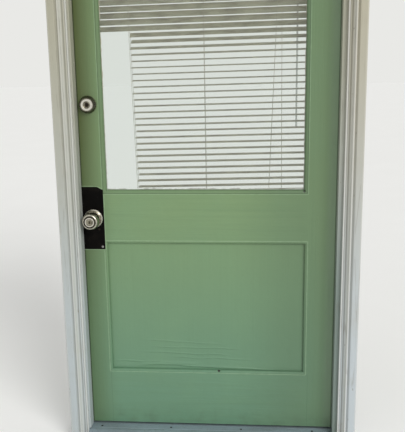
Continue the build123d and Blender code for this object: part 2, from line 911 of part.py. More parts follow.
def mitred_strip(start, end, inward, pane_y, width, height):
    """One strip from outer corner to outer corner, mitred at both ends."""
    start, end, inward = Vector(*start), Vector(*end), Vector(*inward)
    run = end - start
    along = run.normalized()
    origin = Vector(start.X, pane_y, start.Z)
    with BuildPart() as strip:
        with BuildSketch(Plane(origin=origin, x_dir=inward, z_dir=along)):
            add(strip_section(width, height))
        extrude(amount=run.length)
        split(bisect_by=Plane(origin=start, z_dir=along - inward), keep=Keep.TOP)
        split(bisect_by=Plane(origin=end, z_dir=-along - inward), keep=Keep.TOP)
    return strip


def opening_strips(low, high, pane_y, width, height):
    """Four strips round an opening: bottom, hinge side, top, latch side."""
    left, right = opening_left, opening_right
    corners = [(left, 0, low), (right, 0, low), (right, 0, high), (left, 0, high)]
    inward = [(0, 0, 1), (-1, 0, 0), (0, 0, -1), (1, 0, 0)]
    return [
        mitred_strip(corners[index], corners[(index + 1) % 4], inward[index], pane_y, width, height)
        for index in range(4)
    ]


panel_face_y = rebate_depth - panel_thickness
glass_face_y = rebate_depth - glass_thickness
moulding_strips = opening_strips(
    panel_bottom, panel_top, panel_face_y, moulding_width, panel_face_y - moulding_setback
)
with BuildPart() as panel_moulding:
    for strip in moulding_strips:
        add(strip.part)
save("panel_moulding", panel_moulding)

bead_depth = glass_face_y - bead_setback
glazing_beads = opening_strips(window_bottom, window_top, glass_face_y, bead_width, bead_depth)
for bead_name, bead in zip(("bottom", "hinge_side", "top", "latch_side"), glazing_beads):
    save(f"glazing_bead_{bead_name}", bead)

# Seal in the kerf under the leaf
with BuildPart() as bottom_seal:
    seal_low = threshold_top + bottom_seal_clearance
    block(
        (-half_leaf + 1, half_leaf - 1),
        span(middle_y, bottom_seal_width),
        (seal_low, leaf_bottom),
    )
    block(
        (-half_leaf + 1, half_leaf - 1),
        span(middle_y, bottom_kerf_width),
        (leaf_bottom, leaf_bottom + bottom_kerf_depth - 1),
    )
save("bottom_seal", bottom_seal)

# Lock plate: a U of sheet round the leaf's latch edge
with BuildPart() as lock_plate:
    block(
        (-half_leaf, -half_leaf + plate_width),
        (-plate_thickness, leaf_thickness + plate_thickness),
        (plate_bottom, plate_top),
    )
    block(
        (-half_leaf + plate_thickness, -half_leaf + plate_width + 1),
        (0, leaf_thickness),
        (plate_bottom - 1, plate_top + 1),
        Mode.SUBTRACT,
    )
    plate_end_x = -half_leaf + plate_width
    with BuildSketch(Plane(origin=(0, -plate_thickness - 1, 0), x_dir=(1, 0, 0), z_dir=(0, 1, 0))):
        outline([
            (plate_end_x - plate_corner_run, -plate_top - 1),
            (plate_end_x + 1, -plate_top - 1),
            (plate_end_x + 1, -plate_top + plate_corner_drop),
            (plate_end_x, -plate_top + plate_corner_drop),
            (plate_end_x - plate_corner_run, -plate_top),
        ])
    extrude(amount=plate_thickness + 1.5, mode=Mode.SUBTRACT)
    bore_length = inside_seat_y - outside_seat_y + 2
    drill((bore_x, outside_seat_y - 1, knob_z), (0, 1, 0), cross_bore_radius, bore_length)
    drill((-half_leaf - 1, middle_y, knob_z), (1, 0, 0), edge_bore_radius, plate_thickness + 2)
    for place in plate_screw_places:
        screw_hole(place, (0, 1, 0), screw_length)
save("lock_plate", lock_plate)


# Roses and knobs, turned about the cross bore
neck_hole_radius = knob_neck_radius + rose_hole_clearance


def turned_plane(seat_y, side, height):
    """Sketch plane through the bore: x is the radius, y runs out from the leaf."""
    x_dir = (1, 0, 0)
    normal = (0, 0, 1) if side > 0 else (0, 0, -1)
    return Plane(origin=(bore_x, seat_y, height), x_dir=x_dir, z_dir=normal)


def turn_profile(seat_y, side, height):
    """Revolve the open sketch about the bore's axis."""
    revolve(axis=Axis((bore_x, seat_y, height), (0, side, 0)))


def knob_rose(seat_y, side):
    """The round cover under a knob."""
    edge = rose_radius - neck_hole_radius
    with BuildPart() as rose:
        with BuildSketch(turned_plane(seat_y, side, knob_z)):
            with BuildLine():
                Line((neck_hole_radius, rose_thickness), (neck_hole_radius, 0))
                Line((neck_hole_radius, 0), (rose_radius, 0))
                Line((rose_radius, 0), (rose_radius, rose_rim))
                ThreePointArc(
                    (rose_radius, rose_rim),
                    (rose_radius - edge * 0.22, rose_thickness * 0.72),
                    (rose_radius - edge * 0.62, rose_thickness),
                )
                Line((rose_radius - edge * 0.62, rose_thickness), (neck_hole_radius, rose_thickness))
            make_face()
        turn_profile(seat_y, side, knob_z)
    return rose


outer_rose = knob_rose(outside_seat_y, -1)
save("outer_rose", outer_rose)
inner_rose = knob_rose(inside_seat_y, 1)
save("inner_rose", inner_rose)


def knob_profile():
    """Half section of a knob, from the axis outward."""
    waist_start = (knob_neck_radius, knob_waist_out * 0.55)
    waist = (knob_neck_radius + 3.2, knob_waist_out)
    shoulder = (knob_radius - 2.6, knob_widest_out - 9.0)
    widest = (knob_radius, knob_widest_out)
    rim = (knob_radius - 2.4, knob_front_out - 5.4)
    face_edge = (knob_face_radius, knob_front_out - knob_face_setback)
    groove_edge = (knob_face_radius - knob_boss_taper, knob_front_out - knob_groove_depth)
    boss_foot = (knob_boss_radius, knob_front_out - knob_groove_depth)
    boss_edge = (knob_boss_radius - knob_boss_taper, knob_front)
    with BuildSketch() as section:
        with BuildLine():
            Polyline((0, knob_seat_gap), (knob_neck_radius, knob_seat_gap), waist_start)
            Spline(waist_start, waist, shoulder, widest, tangents=((0, 1), (0, 1)))
            Spline(widest, rim, face_edge, tangents=((0, 1), (-1, 0.1)))
            Polyline(face_edge, groove_edge, boss_foot, boss_edge, (0, knob_front), (0, knob_seat_gap))
        make_face()
    return section.sketch


knob_front = knob_front_out + knob_boss_rise
spindle_end_y = inside_seat_y + knob_seat_gap + socket_depth
spindle_length = spindle_end_y - outside_seat_y
with BuildPart() as outer_knob:
    with BuildSketch(turned_plane(outside_seat_y, -1, knob_z)):
        add(knob_profile())
    turn_profile(outside_seat_y, -1, knob_z)
    drill((bore_x, outside_seat_y - 1, knob_z), (0, 1, 0), spindle_radius, spindle_length + 1, Mode.ADD)
    drill(
        (bore_x, outside_seat_y - knob_front - 1, knob_z),
        (0, 1, 0),
        key_plug_radius + running_clearance,
        key_plug_depth + 1,
    )
save("outer_knob", outer_knob)

with BuildPart() as inner_knob:
    with BuildSketch(turned_plane(inside_seat_y, 1, knob_z)):
        add(knob_profile())
    turn_profile(inside_seat_y, 1, knob_z)
    socket_radius = spindle_radius + running_clearance
    drill((bore_x, inside_seat_y - 1, knob_z), (0, 1, 0), socket_radius, socket_depth + knob_seat_gap + 1.1)
    drill(
        (bore_x, inside_seat_y + knob_front + 1, knob_z),
        (0, -1, 0),
        button_radius + running_clearance,
        button_depth + 1,
    )
save("inner_knob", inner_knob)


def keyed_plug(front_y, height, depth):
    """A key plug with its upright keyway. Front_y is its outside face."""
    drill((bore_x, front_y, height), (0, 1, 0), key_plug_radius, depth, Mode.ADD)
    block(
        (bore_x - keyway_width / 2, bore_x + keyway_width / 2),
        (front_y - 1, front_y + keyway_depth),
        (height - keyway_height / 2, height + keyway_height / 2),
        Mode.SUBTRACT,
    )


with BuildPart() as knob_plug:
    keyed_plug(outside_seat_y - knob_front - key_plug_proud, knob_z, key_plug_depth + key_plug_proud)
save("knob_plug", knob_plug)

with BuildPart() as lock_button:
    button_face_y = inside_seat_y + knob_front + key_plug_proud
    drill((bore_x, button_face_y, knob_z), (0, -1, 0), button_radius, button_depth + key_plug_proud, Mode.ADD)
    block(
        (bore_x - button_bar_width / 2, bore_x + button_bar_width / 2),
        (button_face_y, button_face_y + button_bar_rise),
        (knob_z - button_radius * 0.8, knob_z + button_radius * 0.8),
    )
save("lock_button", lock_button)


# Latch and deadbolt mechanisms in the leaf's edge
def bolt_case(height, front_x, cavity, cavity_end_x, cross_radius):
    """A round case in the edge bore, with the bolt's way and a cross hole."""
    end_x = bore_x + case_past_axis
    with BuildPart() as case:
        drill((front_x, middle_y, height), (1, 0, 0), case_radius, end_x - front_x, Mode.ADD)
        block(
            (front_x - 1, cavity_end_x),
            span(middle_y, cavity[0]),
            span(height, cavity[1]),
            Mode.SUBTRACT,
        )
        drill((bore_x, middle_y - case_radius - 1, height), (0, 1, 0), cross_radius, 2 * case_radius + 2)
    return case


latch_way = (latch_bolt_width + 2 * running_clearance, latch_bolt_height + 2 * running_clearance)
latch_bolt_back_x = -half_leaf + latch_bolt_inset + latch_bolt_length
latch_way_end_x = latch_bolt_back_x + bolt_back_play
spindle_hole_radius = spindle_radius + latch_case_hole_clearance
latch_case = bolt_case(knob_z, -half_leaf, latch_way, latch_way_end_x, spindle_hole_radius)
save("latch_case", latch_case)

with BuildPart() as latch_bolt:
    latch_front_x = -half_leaf + latch_bolt_inset
    with BuildSketch(Plane.XY.offset(knob_z - latch_bolt_height / 2)):
        outline([
            (latch_front_x, middle_y + latch_bolt_width / 2),
            (latch_bolt_back_x, middle_y + latch_bolt_width / 2),
            (latch_bolt_back_x, middle_y - latch_bolt_width / 2),
            (latch_front_x + latch_throw, middle_y - latch_bolt_width / 2),
            (latch_front_x, middle_y + latch_bolt_width / 6),
        ])
    extrude(amount=latch_bolt_height)
save("latch_bolt", latch_bolt)

deadbolt_way = (deadbolt_bolt_width + 2 * running_clearance, deadbolt_bolt_height + 2 * running_clearance)
deadbolt_back_x = -half_leaf + latch_bolt_inset + deadbolt_bolt_length
deadbolt_way_end_x = deadbolt_back_x + bolt_back_play
deadbolt_case_front_x = -half_leaf + deadbolt_face_thickness
deadbolt_barrel = bolt_case(
    deadbolt_z, deadbolt_case_front_x, deadbolt_way, deadbolt_way_end_x, tailpiece_hole_radius
)
with BuildPart() as deadbolt_case:
    add(deadbolt_barrel.part)
    block(
        (-half_leaf, -half_leaf + deadbolt_face_thickness),
        span(middle_y, deadbolt_face_width),
        span(deadbolt_z, deadbolt_face_height),
    )
    block(
        (-half_leaf - 1, -half_leaf + deadbolt_face_thickness + 1),
        span(middle_y, deadbolt_way[0]),
        span(deadbolt_z, deadbolt_way[1]),
        Mode.SUBTRACT,
    )
save("deadbolt_case", deadbolt_case)

with BuildPart() as deadbolt_bolt:
    block(
        (-half_leaf + latch_bolt_inset, deadbolt_back_x),
        span(middle_y, deadbolt_bolt_width),
        span(deadbolt_z, deadbolt_bolt_height),
    )
    bolt_tip = deadbolt_bolt.edges().filter_by(Axis.Y).group_by(Axis.X)[0]
    chamfer(bolt_tip, length=1.0)
save("deadbolt_bolt", deadbolt_bolt)

# Deadbolt's outside collar and cylinder
with BuildPart() as deadbolt_collar:
    with BuildSketch(turned_plane(0, -1, deadbolt_z)):
        with BuildLine():
            Polyline(
                (cylinder_radius + joint_clearance, collar_height),
                (cylinder_radius + joint_clearance, 0),
                (collar_radius, 0),
                (collar_radius, 3.0),
                (collar_front_radius, collar_height),
                close=True,
            )
        make_face()
    turn_profile(0, -1, deadbolt_z)
save("deadbolt_collar", deadbolt_collar)

with BuildPart() as deadbolt_cylinder:
    recess_out = cylinder_front_out - cylinder_recess_depth
    with BuildSketch(turned_plane(0, -1, deadbolt_z)):
        with BuildLine():
            Polyline(
                (0, 0),
                (cylinder_radius, 0),
                (cylinder_radius, cylinder_front_out - 2.4),
                (cylinder_radius - 2.4, cylinder_front_out),
                (cylinder_recess_radius + 1.2, cylinder_front_out - 1.6),
                (cylinder_recess_radius, recess_out),
                (0, recess_out),
                close=True,
            )
        make_face()
    turn_profile(0, -1, deadbolt_z)
    plug_way_radius = key_plug_radius + running_clearance
    drill((bore_x, -cylinder_front_out - 1, deadbolt_z), (0, 1, 0), plug_way_radius, cylinder_front_out + 2)
save("deadbolt_cylinder", deadbolt_cylinder)

turn_seat_y = leaf_thickness + inner_rose_thickness
with BuildPart() as deadbolt_plug:
    keyed_plug(-recess_out - key_plug_proud, deadbolt_z, recess_out + key_plug_proud)
    drill((bore_x, -1, deadbolt_z), (0, 1, 0), tailpiece_radius, turn_seat_y + turn_hub_grip + 1, Mode.ADD)
save("deadbolt_plug", deadbolt_plug)

with BuildPart() as deadbolt_inner_rose:
    with BuildSketch(turned_plane(leaf_thickness, 1, deadbolt_z)):
        with BuildLine():
            Polyline(
                (turn_hub_radius + joint_clearance, inner_rose_thickness),
                (turn_hub_radius + joint_clearance, 0),
                (inner_rose_radius, 0),
                (inner_rose_radius, inner_rose_thickness * 0.4),
                (inner_rose_radius - inner_rose_bevel, inner_rose_thickness),
                close=True,
            )
        make_face()
    turn_profile(leaf_thickness, 1, deadbolt_z)
save("deadbolt_inner_rose", deadbolt_inner_rose)

with BuildPart() as thumb_turn:
    hub_start_y = turn_seat_y - turn_hub_sunk
    drill((bore_x, hub_start_y, deadbolt_z), (0, 1, 0), turn_hub_radius, turn_hub_length, Mode.ADD)
    turn_start = (bore_x, turn_seat_y + joint_clearance, deadbolt_z)
    with BuildSketch(Plane(origin=turn_start, x_dir=(1, 0, 0), z_dir=(0, 1, 0))):
        SlotOverall(turn_length, turn_width, rotation=90)
    extrude(amount=turn_out)
    tailpiece_way_radius = tailpiece_radius + running_clearance
    tailpiece_way_depth = turn_hub_sunk + turn_hub_grip + joint_clearance
    drill((bore_x, hub_start_y - 1, deadbolt_z), (0, 1, 0), tailpiece_way_radius, tailpiece_way_depth + 1)
save("thumb_turn", thumb_turn)


# Blind, hung a little out of level on the leaf's inside face
slope = tan(radians(blind_slope_deg))
along_slats = (cos(radians(blind_slope_deg)), 0, sin(radians(blind_slope_deg)))
up_blind = (-sin(radians(blind_slope_deg)), 0, cos(radians(blind_slope_deg)))


def blind_point(x, height, y=blind_y):
    """A point of the sloping blind. Height is above the leaf's bottom at X = 0."""
    return (x, y, leaf_bottom + height + x * slope)


def between(low, high, share):
    """The value a share of the way from low to high."""
    return low + (high - low) * share


def slat_tilt(height):
    """Slats hang nearly open low down and close towards the top."""
    share = (height - closing_starts_height) / (closing_ends_height - closing_starts_height)
    share = min(max(share, 0.0), 1.0)
    smooth = share * share * (3 - 2 * share)
    return between(slat_open_tilt_deg, slat_closed_tilt_deg, smooth)


def ladder_x(index, height):
    """Where a ladder crosses a height. The ladders draw together towards the bottom."""
    low = lowest_slat_height
    high = closing_ends_height
    share = (height - low) / (high - low)
    return between(ladder_bottom_x[index], ladder_top_x[index], min(share, 1.0))


def slat_span(index):
    """Start and length of one slat. Low slats have lost their latch-side ends."""
    height = lowest_slat_height + index * slat_pitch
    if height < broken_below_height:
        start = ladder_x(0, height) + broken_end_past_ladder[index % len(broken_end_past_ladder)]
    else:
        start = slat_left_x
    return start, (slat_right_x - start) / cos(radians(blind_slope_deg))


with BuildPart() as blind_slats:
    half = slat_width / 2
    slat_arc = [(-half, 0), (0, slat_crown), (half, 0)]
    for index in range(slat_count):
        height = lowest_slat_height + index * slat_pitch
        start, length = slat_span(index)
        tilt = radians(slat_tilt(height))
        across = Vector(0, 1, 0) * cos(tilt) + Vector(*up_blind) * sin(tilt)
        with BuildSketch(Plane(origin=blind_point(start, height), x_dir=across, z_dir=along_slats)):
            with BuildLine():
                upper = ThreePointArc(*slat_arc)
                lower = ThreePointArc(*[(x, y - slat_thickness) for x, y in slat_arc])
                Line(upper @ 1, lower @ 1)
                Line(lower @ 0, upper @ 0)
            make_face()
        extrude(amount=length)
save("blind_slats", blind_slats)

# Headrail channel with the tilter, in two brackets
headrail_left = slat_left_x - 2
headrail_length = (slat_right_x + 2 - headrail_left) / cos(radians(blind_slope_deg))
headrail_plane = Plane(origin=blind_point(headrail_left, headrail_height), x_dir=(0, 1, 0), z_dir=along_slats)
wand_y = blind_y + headrail_size / 2 + tilter_depth / 2
tilter_bottom = leaf_bottom + headrail_height - headrail_size / 2 + wand_x * slope
with BuildPart() as blind_headrail:
    with BuildSketch(headrail_plane):
        Rectangle(headrail_size, headrail_size)
        with Locations((0, headrail_wall)):
            Rectangle(headrail_size - 2 * headrail_wall, headrail_size, mode=Mode.SUBTRACT)
    extrude(amount=headrail_length)
    block(
        (wand_x - tilter_width / 2, wand_x + tilter_width / 2),
        (blind_y + headrail_size / 2 - headrail_wall, blind_y + headrail_size / 2 + tilter_depth),
        (tilter_bottom, tilter_bottom + headrail_size - 4),
    )
    stem_way_radius = wand_stem_radius + running_clearance
    drill((wand_x, wand_y, tilter_bottom - 1), (0, 0, 1), stem_way_radius, tilter_hole_depth + 1)
save("blind_headrail", blind_headrail)

bracket_inside = headrail_size + 2 * bracket_play
bracket_outside = bracket_inside + 2 * bracket_wall
with BuildPart() as blind_brackets:
    for end_x, inward in ((headrail_left - bracket_wall, 1), (slat_right_x + 2 + bracket_wall, -1)):
        place = Plane(origin=blind_point(end_x, headrail_height), x_dir=(0, 1, 0), z_dir=along_slats)
        with BuildSketch(place):
            Rectangle(bracket_outside, bracket_outside)
        extrude(amount=inward * bracket_width)
        with BuildSketch(place.offset(inward * (bracket_wall - bracket_play))):
            Rectangle(bracket_inside, bracket_inside)
        extrude(amount=inward * (bracket_width + 5), mode=Mode.SUBTRACT)
        inner_x = end_x + inward * bracket_width
        block(
            (min(end_x, inner_x), max(end_x, inner_x)),
            (leaf_thickness, blind_y - bracket_outside / 2),
            (
                leaf_bottom + headrail_height + end_x * slope - headrail_size / 3,
                leaf_bottom + headrail_height + end_x * slope + headrail_size / 3,
            ),
        )
save("blind_brackets", blind_brackets)

bottom_rail_height_on_leaf = lowest_slat_height - slat_pitch
with BuildPart() as blind_bottom_rail:
    rail_end = Plane(
        origin=blind_point(slat_left_x, bottom_rail_height_on_leaf), x_dir=(0, 1, 0), z_dir=along_slats
    )
    with BuildSketch(rail_end):
        RectangleRounded(slat_width, bottom_rail_thickness, bottom_rail_thickness * 0.4)
    extrude(amount=(slat_right_x - slat_left_x) / cos(radians(blind_slope_deg)))
save("blind_bottom_rail", blind_bottom_rail)


def ladder_point(index, side, height):
    """A ladder cord's place beside the tilted slats, whose edges it just touches."""
    tilt = radians(slat_tilt(height))
    reach = slat_width / 2 * cos(tilt)
    if side > 0:
        reach += slat_thickness * sin(tilt)
    y = blind_y + side * (reach + ladder_cord_radius - cord_bite)
    return blind_point(ladder_x(index, height), height, y)


def taut_cord(points, radius):
    """A taut, nearly upright cord through a row of points, with level sections."""
    with BuildPart() as cord:
        for point in points:
            with BuildSketch(Plane(origin=point)):
                RegularPolygon(radius, cord_sides)
        loft(ruled=True)
    return cord.part


cord_top = headrail_height - headrail_size / 2
slat_heights = [lowest_slat_height + index * slat_pitch for index in range(slat_count)]
bend_start = closing_starts_height - slat_pitch
bend_end = closing_ends_height + slat_pitch
ladder_heights = [height for height in slat_heights if bend_start < height < bend_end]
with BuildPart() as blind_cords:
    for index in range(len(ladder_top_x)):
        for side in (-1, 1):
            foot_y = blind_y + side * (slat_width / 2 + ladder_cord_radius - cord_bite)
            foot = blind_point(ladder_bottom_x[index], bottom_rail_height_on_leaf, foot_y)
            places = [ladder_point(index, side, z) for z in (lowest_slat_height, *ladder_heights, cord_top)]
            add(taut_cord([foot, *places], ladder_cord_radius))
    lift_foot_y = blind_y + slat_width / 2 + lift_cord_radius - cord_bite
    lift_top_y = blind_y + headrail_size / 2 + lift_cord_radius - cord_bite
    lift_foot = blind_point(lift_cord_bottom_x, bottom_rail_height_on_leaf, lift_foot_y)
    lift_top = blind_point(lift_cord_top_x, headrail_height, lift_top_y)
    add(taut_cord([lift_foot, lift_top], lift_cord_radius))
save("blind_cords", blind_cords)

# Tilt wand, a six-sided rod on a short stem
sleeve_top = tilter_bottom - wand_gap
with BuildPart() as tilt_wand:
    with BuildSketch(Plane(origin=(wand_x, wand_y, leaf_bottom + wand_bottom_height))):
        RegularPolygon(wand_radius, 6)
    extrude(amount=sleeve_top - wand_sleeve_length - leaf_bottom - wand_bottom_height)
    drill((wand_x, wand_y, sleeve_top), (0, 0, -1), wand_sleeve_radius, wand_sleeve_length, Mode.ADD)
    stem_length = wand_gap + tilter_hole_depth
    drill((wand_x, wand_y, sleeve_top - 1), (0, 0, 1), wand_stem_radius, stem_length - 1, Mode.ADD)
save("tilt_wand", tilt_wand)
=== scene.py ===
import math
import random

import bmesh
import bpy
from mathutils import Matrix, Vector, noise


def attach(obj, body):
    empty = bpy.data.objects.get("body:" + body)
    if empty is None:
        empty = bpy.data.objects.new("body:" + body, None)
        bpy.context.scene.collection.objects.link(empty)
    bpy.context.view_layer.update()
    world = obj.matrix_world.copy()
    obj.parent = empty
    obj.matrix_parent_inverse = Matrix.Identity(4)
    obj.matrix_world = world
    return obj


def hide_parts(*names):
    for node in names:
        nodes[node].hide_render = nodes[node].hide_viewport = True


# Looks of the half-glazed door in its frame, in metres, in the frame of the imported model
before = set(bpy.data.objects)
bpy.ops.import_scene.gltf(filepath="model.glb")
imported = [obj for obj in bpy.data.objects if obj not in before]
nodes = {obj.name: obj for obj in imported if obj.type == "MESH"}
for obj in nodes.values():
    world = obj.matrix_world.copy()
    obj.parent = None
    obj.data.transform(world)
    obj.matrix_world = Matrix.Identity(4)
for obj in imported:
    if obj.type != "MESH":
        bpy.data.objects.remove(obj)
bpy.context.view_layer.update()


# Places that the looks and pieces below share with the solids
def extent(node_name, letter):
    """The lowest and the highest place of a node's mesh along an axis."""
    axis = "XYZ".index(letter)
    places = [corner[axis] for corner in nodes[node_name].bound_box]
    return min(places), max(places)


def centre_of(node_name, letter):
    """The middle of a node's mesh along an axis."""
    return sum(extent(node_name, letter)) / 2


leaf_bottom = extent("latch_stile", "Z")[0]
opening_left, opening_right = extent("panel_moulding", "X")
panel_bottom, panel_top = extent("panel_moulding", "Z")
panel_face_y = extent("lower_panel", "Y")[0]
window_bottom, window_top = extent("glazing_bead_latch_side", "Z")
glass_face_y = extent("glass_pane", "Y")[0]
latch_stop_x, hinge_stop_x = extent("latch_stop", "X")[1], extent("hinge_jamb", "X")[0]
latch_mould_x, hinge_mould_x = extent("latch_brickmould", "X")[1], extent("hinge_brickmould", "X")[0]
head_mould_z = extent("head_brickmould", "Z")[0]
bore_x, knob_z = centre_of("outer_rose", "X"), centre_of("outer_rose", "Z")
deadbolt_z = centre_of("deadbolt_collar", "Z")
plate_end_x = extent("lock_plate", "X")[1]
plate_bottom, plate_top = extent("lock_plate", "Z")
moulding_width = 0.008
bead_width = 0.013
rib_pitch = 0.004

# The blind, with heights above the leaf's foot
blind_y = centre_of("blind_bottom_rail", "Y")
blind_slope = math.tan(math.radians(1.1))
slat_width, slat_pitch, slat_count = 0.025, 0.02171, 48
lowest_slat = 0.8876
open_tilt_deg, closed_tilt_deg = 8, 50
closing_starts, closing_ends = 1.30, 1.48
ladder_top_x = (-0.258, -0.003, 0.242)
ladder_bottom_x = (-0.244, -0.0015, 0.2175)
rung_radius, rung_below_slat = 0.0004, 0.0012

# The photograph's camera, from the fit to the leaf's edges: degrees, metres, millimetres
camera_yaw, camera_pitch, camera_roll = 4.84, 12.75, -0.90
camera_place = (0.1936, -2.4279, 1.37775)
camera_sensor, camera_lens = 36, 60


# Camera, at the photograph's viewing angle
def place_camera():
    """A camera fitted to the leaf's edges in the photograph, at a chosen focal length."""
    yaw, pitch, roll = (math.radians(angle) for angle in (camera_yaw, camera_pitch, camera_roll))
    ahead = Vector((
        -math.sin(yaw) * math.cos(pitch),
        math.cos(yaw) * math.cos(pitch),
        -math.sin(pitch),
    ))
    right = ahead.cross(Vector((0, 0, 1))).normalized()
    up = right.cross(ahead)
    rolled_right = right * math.cos(roll) + up * math.sin(roll)
    rolled_up = up * math.cos(roll) - right * math.sin(roll)
    data = bpy.data.cameras.new("camera")
    data.sensor_width = camera_sensor
    data.lens = camera_lens
    camera = bpy.data.objects.new("camera", data)
    bpy.context.scene.collection.objects.link(camera)
    turn = Matrix((rolled_right, rolled_up, -ahead)).transposed()
    camera.matrix_world = Matrix.Translation(camera_place) @ turn.to_4x4()
    bpy.context.scene.camera = camera


place_camera()


# Colours, and materials built from nodes
def srgb(red, green, blue):
    """A linear colour from display values of 0 to 255."""
    shares = [value / 255 for value in (red, green, blue)]
    linear = [s / 12.92 if s <= 0.04045 else ((s + 0.055) / 1.055) ** 2.4 for s in shares]
    return (*linear, 1.0)


class Surface:
    """One node material, with a short call for each kind of node that the looks use."""

    def __init__(self, name, colour, roughness, metallic=0.0):
        self.material = bpy.data.materials.new(name)
        self.material.use_nodes = True
        self.nodes = self.material.node_tree.nodes
        self.links = self.material.node_tree.links
        self.shader = self.nodes["Principled BSDF"]
        self.place = self.nodes.new("ShaderNodeTexCoord").outputs["Object"]
        self.normal = None
        self.set("Base Color", colour)
        self.set("Roughness", roughness)
        self.set("Metallic", metallic)

    def feed(self, socket, source):
        """Link a node's output to a socket, or write a plain value on it."""
        if isinstance(source, bpy.types.NodeSocket):
            self.links.new(source, socket)
        else:
            socket.default_value = source

    def set(self, name, source):
        """Feed one of the shader's own sockets."""
        self.feed(self.shader.inputs[name], source)

    def stretched(self, stretch):
        """The place on the object, scaled along each axis."""
        node = self.nodes.new("ShaderNodeMapping")
        node.inputs["Scale"].default_value = stretch
        self.links.new(self.place, node.inputs["Vector"])
        return node.outputs["Vector"]

    def noise(self, scale, stretch=(1, 1, 1), detail=3.0, distortion=0.0):
        """Soft noise from 0 to 1, with its size in features a metre."""
        node = self.nodes.new("ShaderNodeTexNoise")
        node.inputs["Scale"].default_value = scale
        node.inputs["Detail"].default_value = detail
        node.inputs["Distortion"].default_value = distortion
        self.links.new(self.stretched(stretch), node.inputs["Vector"])
        return node.outputs["Fac"]

    def cracks(self, scale, stretch=(1, 1, 1)):
        """Distance to the nearest line of a cell pattern."""
        node = self.nodes.new("ShaderNodeTexVoronoi")
        node.feature = "DISTANCE_TO_EDGE"
        node.inputs["Scale"].default_value = scale
        self.links.new(self.stretched(stretch), node.inputs["Vector"])
        return node.outputs["Distance"]

    def axis(self, letter):
        """The place along one axis, in metres."""
        node = self.nodes.new("ShaderNodeSeparateXYZ")
        self.links.new(self.place, node.inputs[0])
        return node.outputs[letter]

    def band(self, source, start, end, low=0.0, high=1.0):
        """A smooth step from low to high between two values of the source."""
        node = self.nodes.new("ShaderNodeMapRange")
        node.interpolation_type = "SMOOTHSTEP"
        for name, value in (("From Min", start), ("From Max", end), ("To Min", low), ("To Max", high)):
            node.inputs[name].default_value = value
        self.feed(node.inputs["Value"], source)
        return node.outputs["Result"]

    def joined(self, operation, first, second):
        """Two numbers joined by a math node's operation."""
        node = self.nodes.new("ShaderNodeMath")
        node.operation = operation
        self.feed(node.inputs[0], first)
        self.feed(node.inputs[1], second)
        return node.outputs[0]

    def mix(self, share, first, second):
        """From the first colour to the second."""
        node = self.nodes.new("ShaderNodeMix")
        node.data_type = "RGBA"
        self.feed(node.inputs[0], share)
        self.feed(node.inputs[6], first)
        self.feed(node.inputs[7], second)
        return node.outputs[2]

    def spot(self, centre, radius):
        """1 at a point on the object, down to 0 at a radius from it."""
        node = self.nodes.new("ShaderNodeVectorMath")
        node.operation = "DISTANCE"
        self.links.new(self.place, node.inputs[0])
        node.inputs[1].default_value = centre
        return self.band(node.outputs["Value"], radius * 0.5, radius, 1.0, 0.0)

    def radius_about(self, x, z):
        """Distance from an axis that runs along Y through x and z."""
        node = self.nodes.new("ShaderNodeVectorMath")
        node.operation = "DISTANCE"
        self.links.new(self.stretched((1, 0, 1)), node.inputs[0])
        node.inputs[1].default_value = (x, 0, z)
        return node.outputs["Value"]

    def between(self, source, start, end, soft):
        """1 where the source lies between two values, with soft ends."""
        risen = self.band(source, start - soft, start + soft)
        fallen = self.band(source, end - soft, end + soft, 1.0, 0.0)
        return self.joined("MULTIPLY", risen, fallen)

    def tinted(self, tone, where, share, colour):
        """The tone, moved towards a colour by a share where the mask is 1."""
        return self.mix(self.joined("MULTIPLY", where, share), tone, srgb(*colour))

    def relief(self, height, depth):
        """Raise the surface by height times depth, on top of earlier relief."""
        node = self.nodes.new("ShaderNodeBump")
        node.inputs["Distance"].default_value = depth
        self.feed(node.inputs["Height"], height)
        if self.normal is not None:
            self.links.new(self.normal, node.inputs["Normal"])
        self.normal = node.outputs["Normal"]
        self.links.new(self.normal, self.shader.inputs["Normal"])


# Paint, with brush marks along the timber
grain_stretch = {"X": (0.03, 1, 1), "Z": (1, 1, 0.03)}
paint_chips = (((0.0388, 0.004, 0.2468), 0.006), ((0.3377, 0.004, 0.9128), 0.006))
rail_joints_x = (-0.359, 0.358)
joint_half_width = 0.0006
seam_width = 0.0014
stop_shadow_half_width = 0.0035

# Painted light over the whole of a piece: a colour and its share. The beads' tint is a painted shade,
# the ridges' tint a painted highlight.
sound_paint = (112, 143, 108, 0.0)
shaded_bead_tint = (70, 92, 66, 0.3)
ridge_highlight_tint = (166, 194, 158, 0.28)


def painted_light_across_leaf(paint, tone, height, across):
    """Painted shade and reflection up the latch stile, painted shade and then painted light towards the
    hinge edge, painted shadow lines at the stops.
    """
    # Painted shade over the hinge half, deeper near the jamb, then painted light at the hinge edge.
    tone = paint.tinted(tone, paint.band(across, 0.06, 0.34), 0.5, (88, 112, 84))
    tone = paint.tinted(tone, paint.band(across, 0.35, 0.41), 0.25, (94, 114, 78))
    tone = paint.tinted(tone, paint.band(across, 0.405, 0.445), 0.45, (158, 182, 154))
    # Painted shade and reflection up the latch stile: darker and yellower higher up.
    latch_stile_shade = paint.mix(paint.band(height, 0.3, 1.3), srgb(84, 109, 72), srgb(70, 77, 28))
    tone = paint.mix(paint.band(across, -0.445, -0.315, 0.88, 0.0), tone, latch_stile_shade)
    # Painted shadow: a dark line where the leaf's face passes behind each stop.
    for edge in (latch_stop_x, hinge_stop_x):
        stop_shadow = paint.between(across, edge - stop_shadow_half_width, edge + stop_shadow_half_width, 0.0015)
        tone = paint.tinted(tone, stop_shadow, 0.6, (40, 48, 32))
    return tone


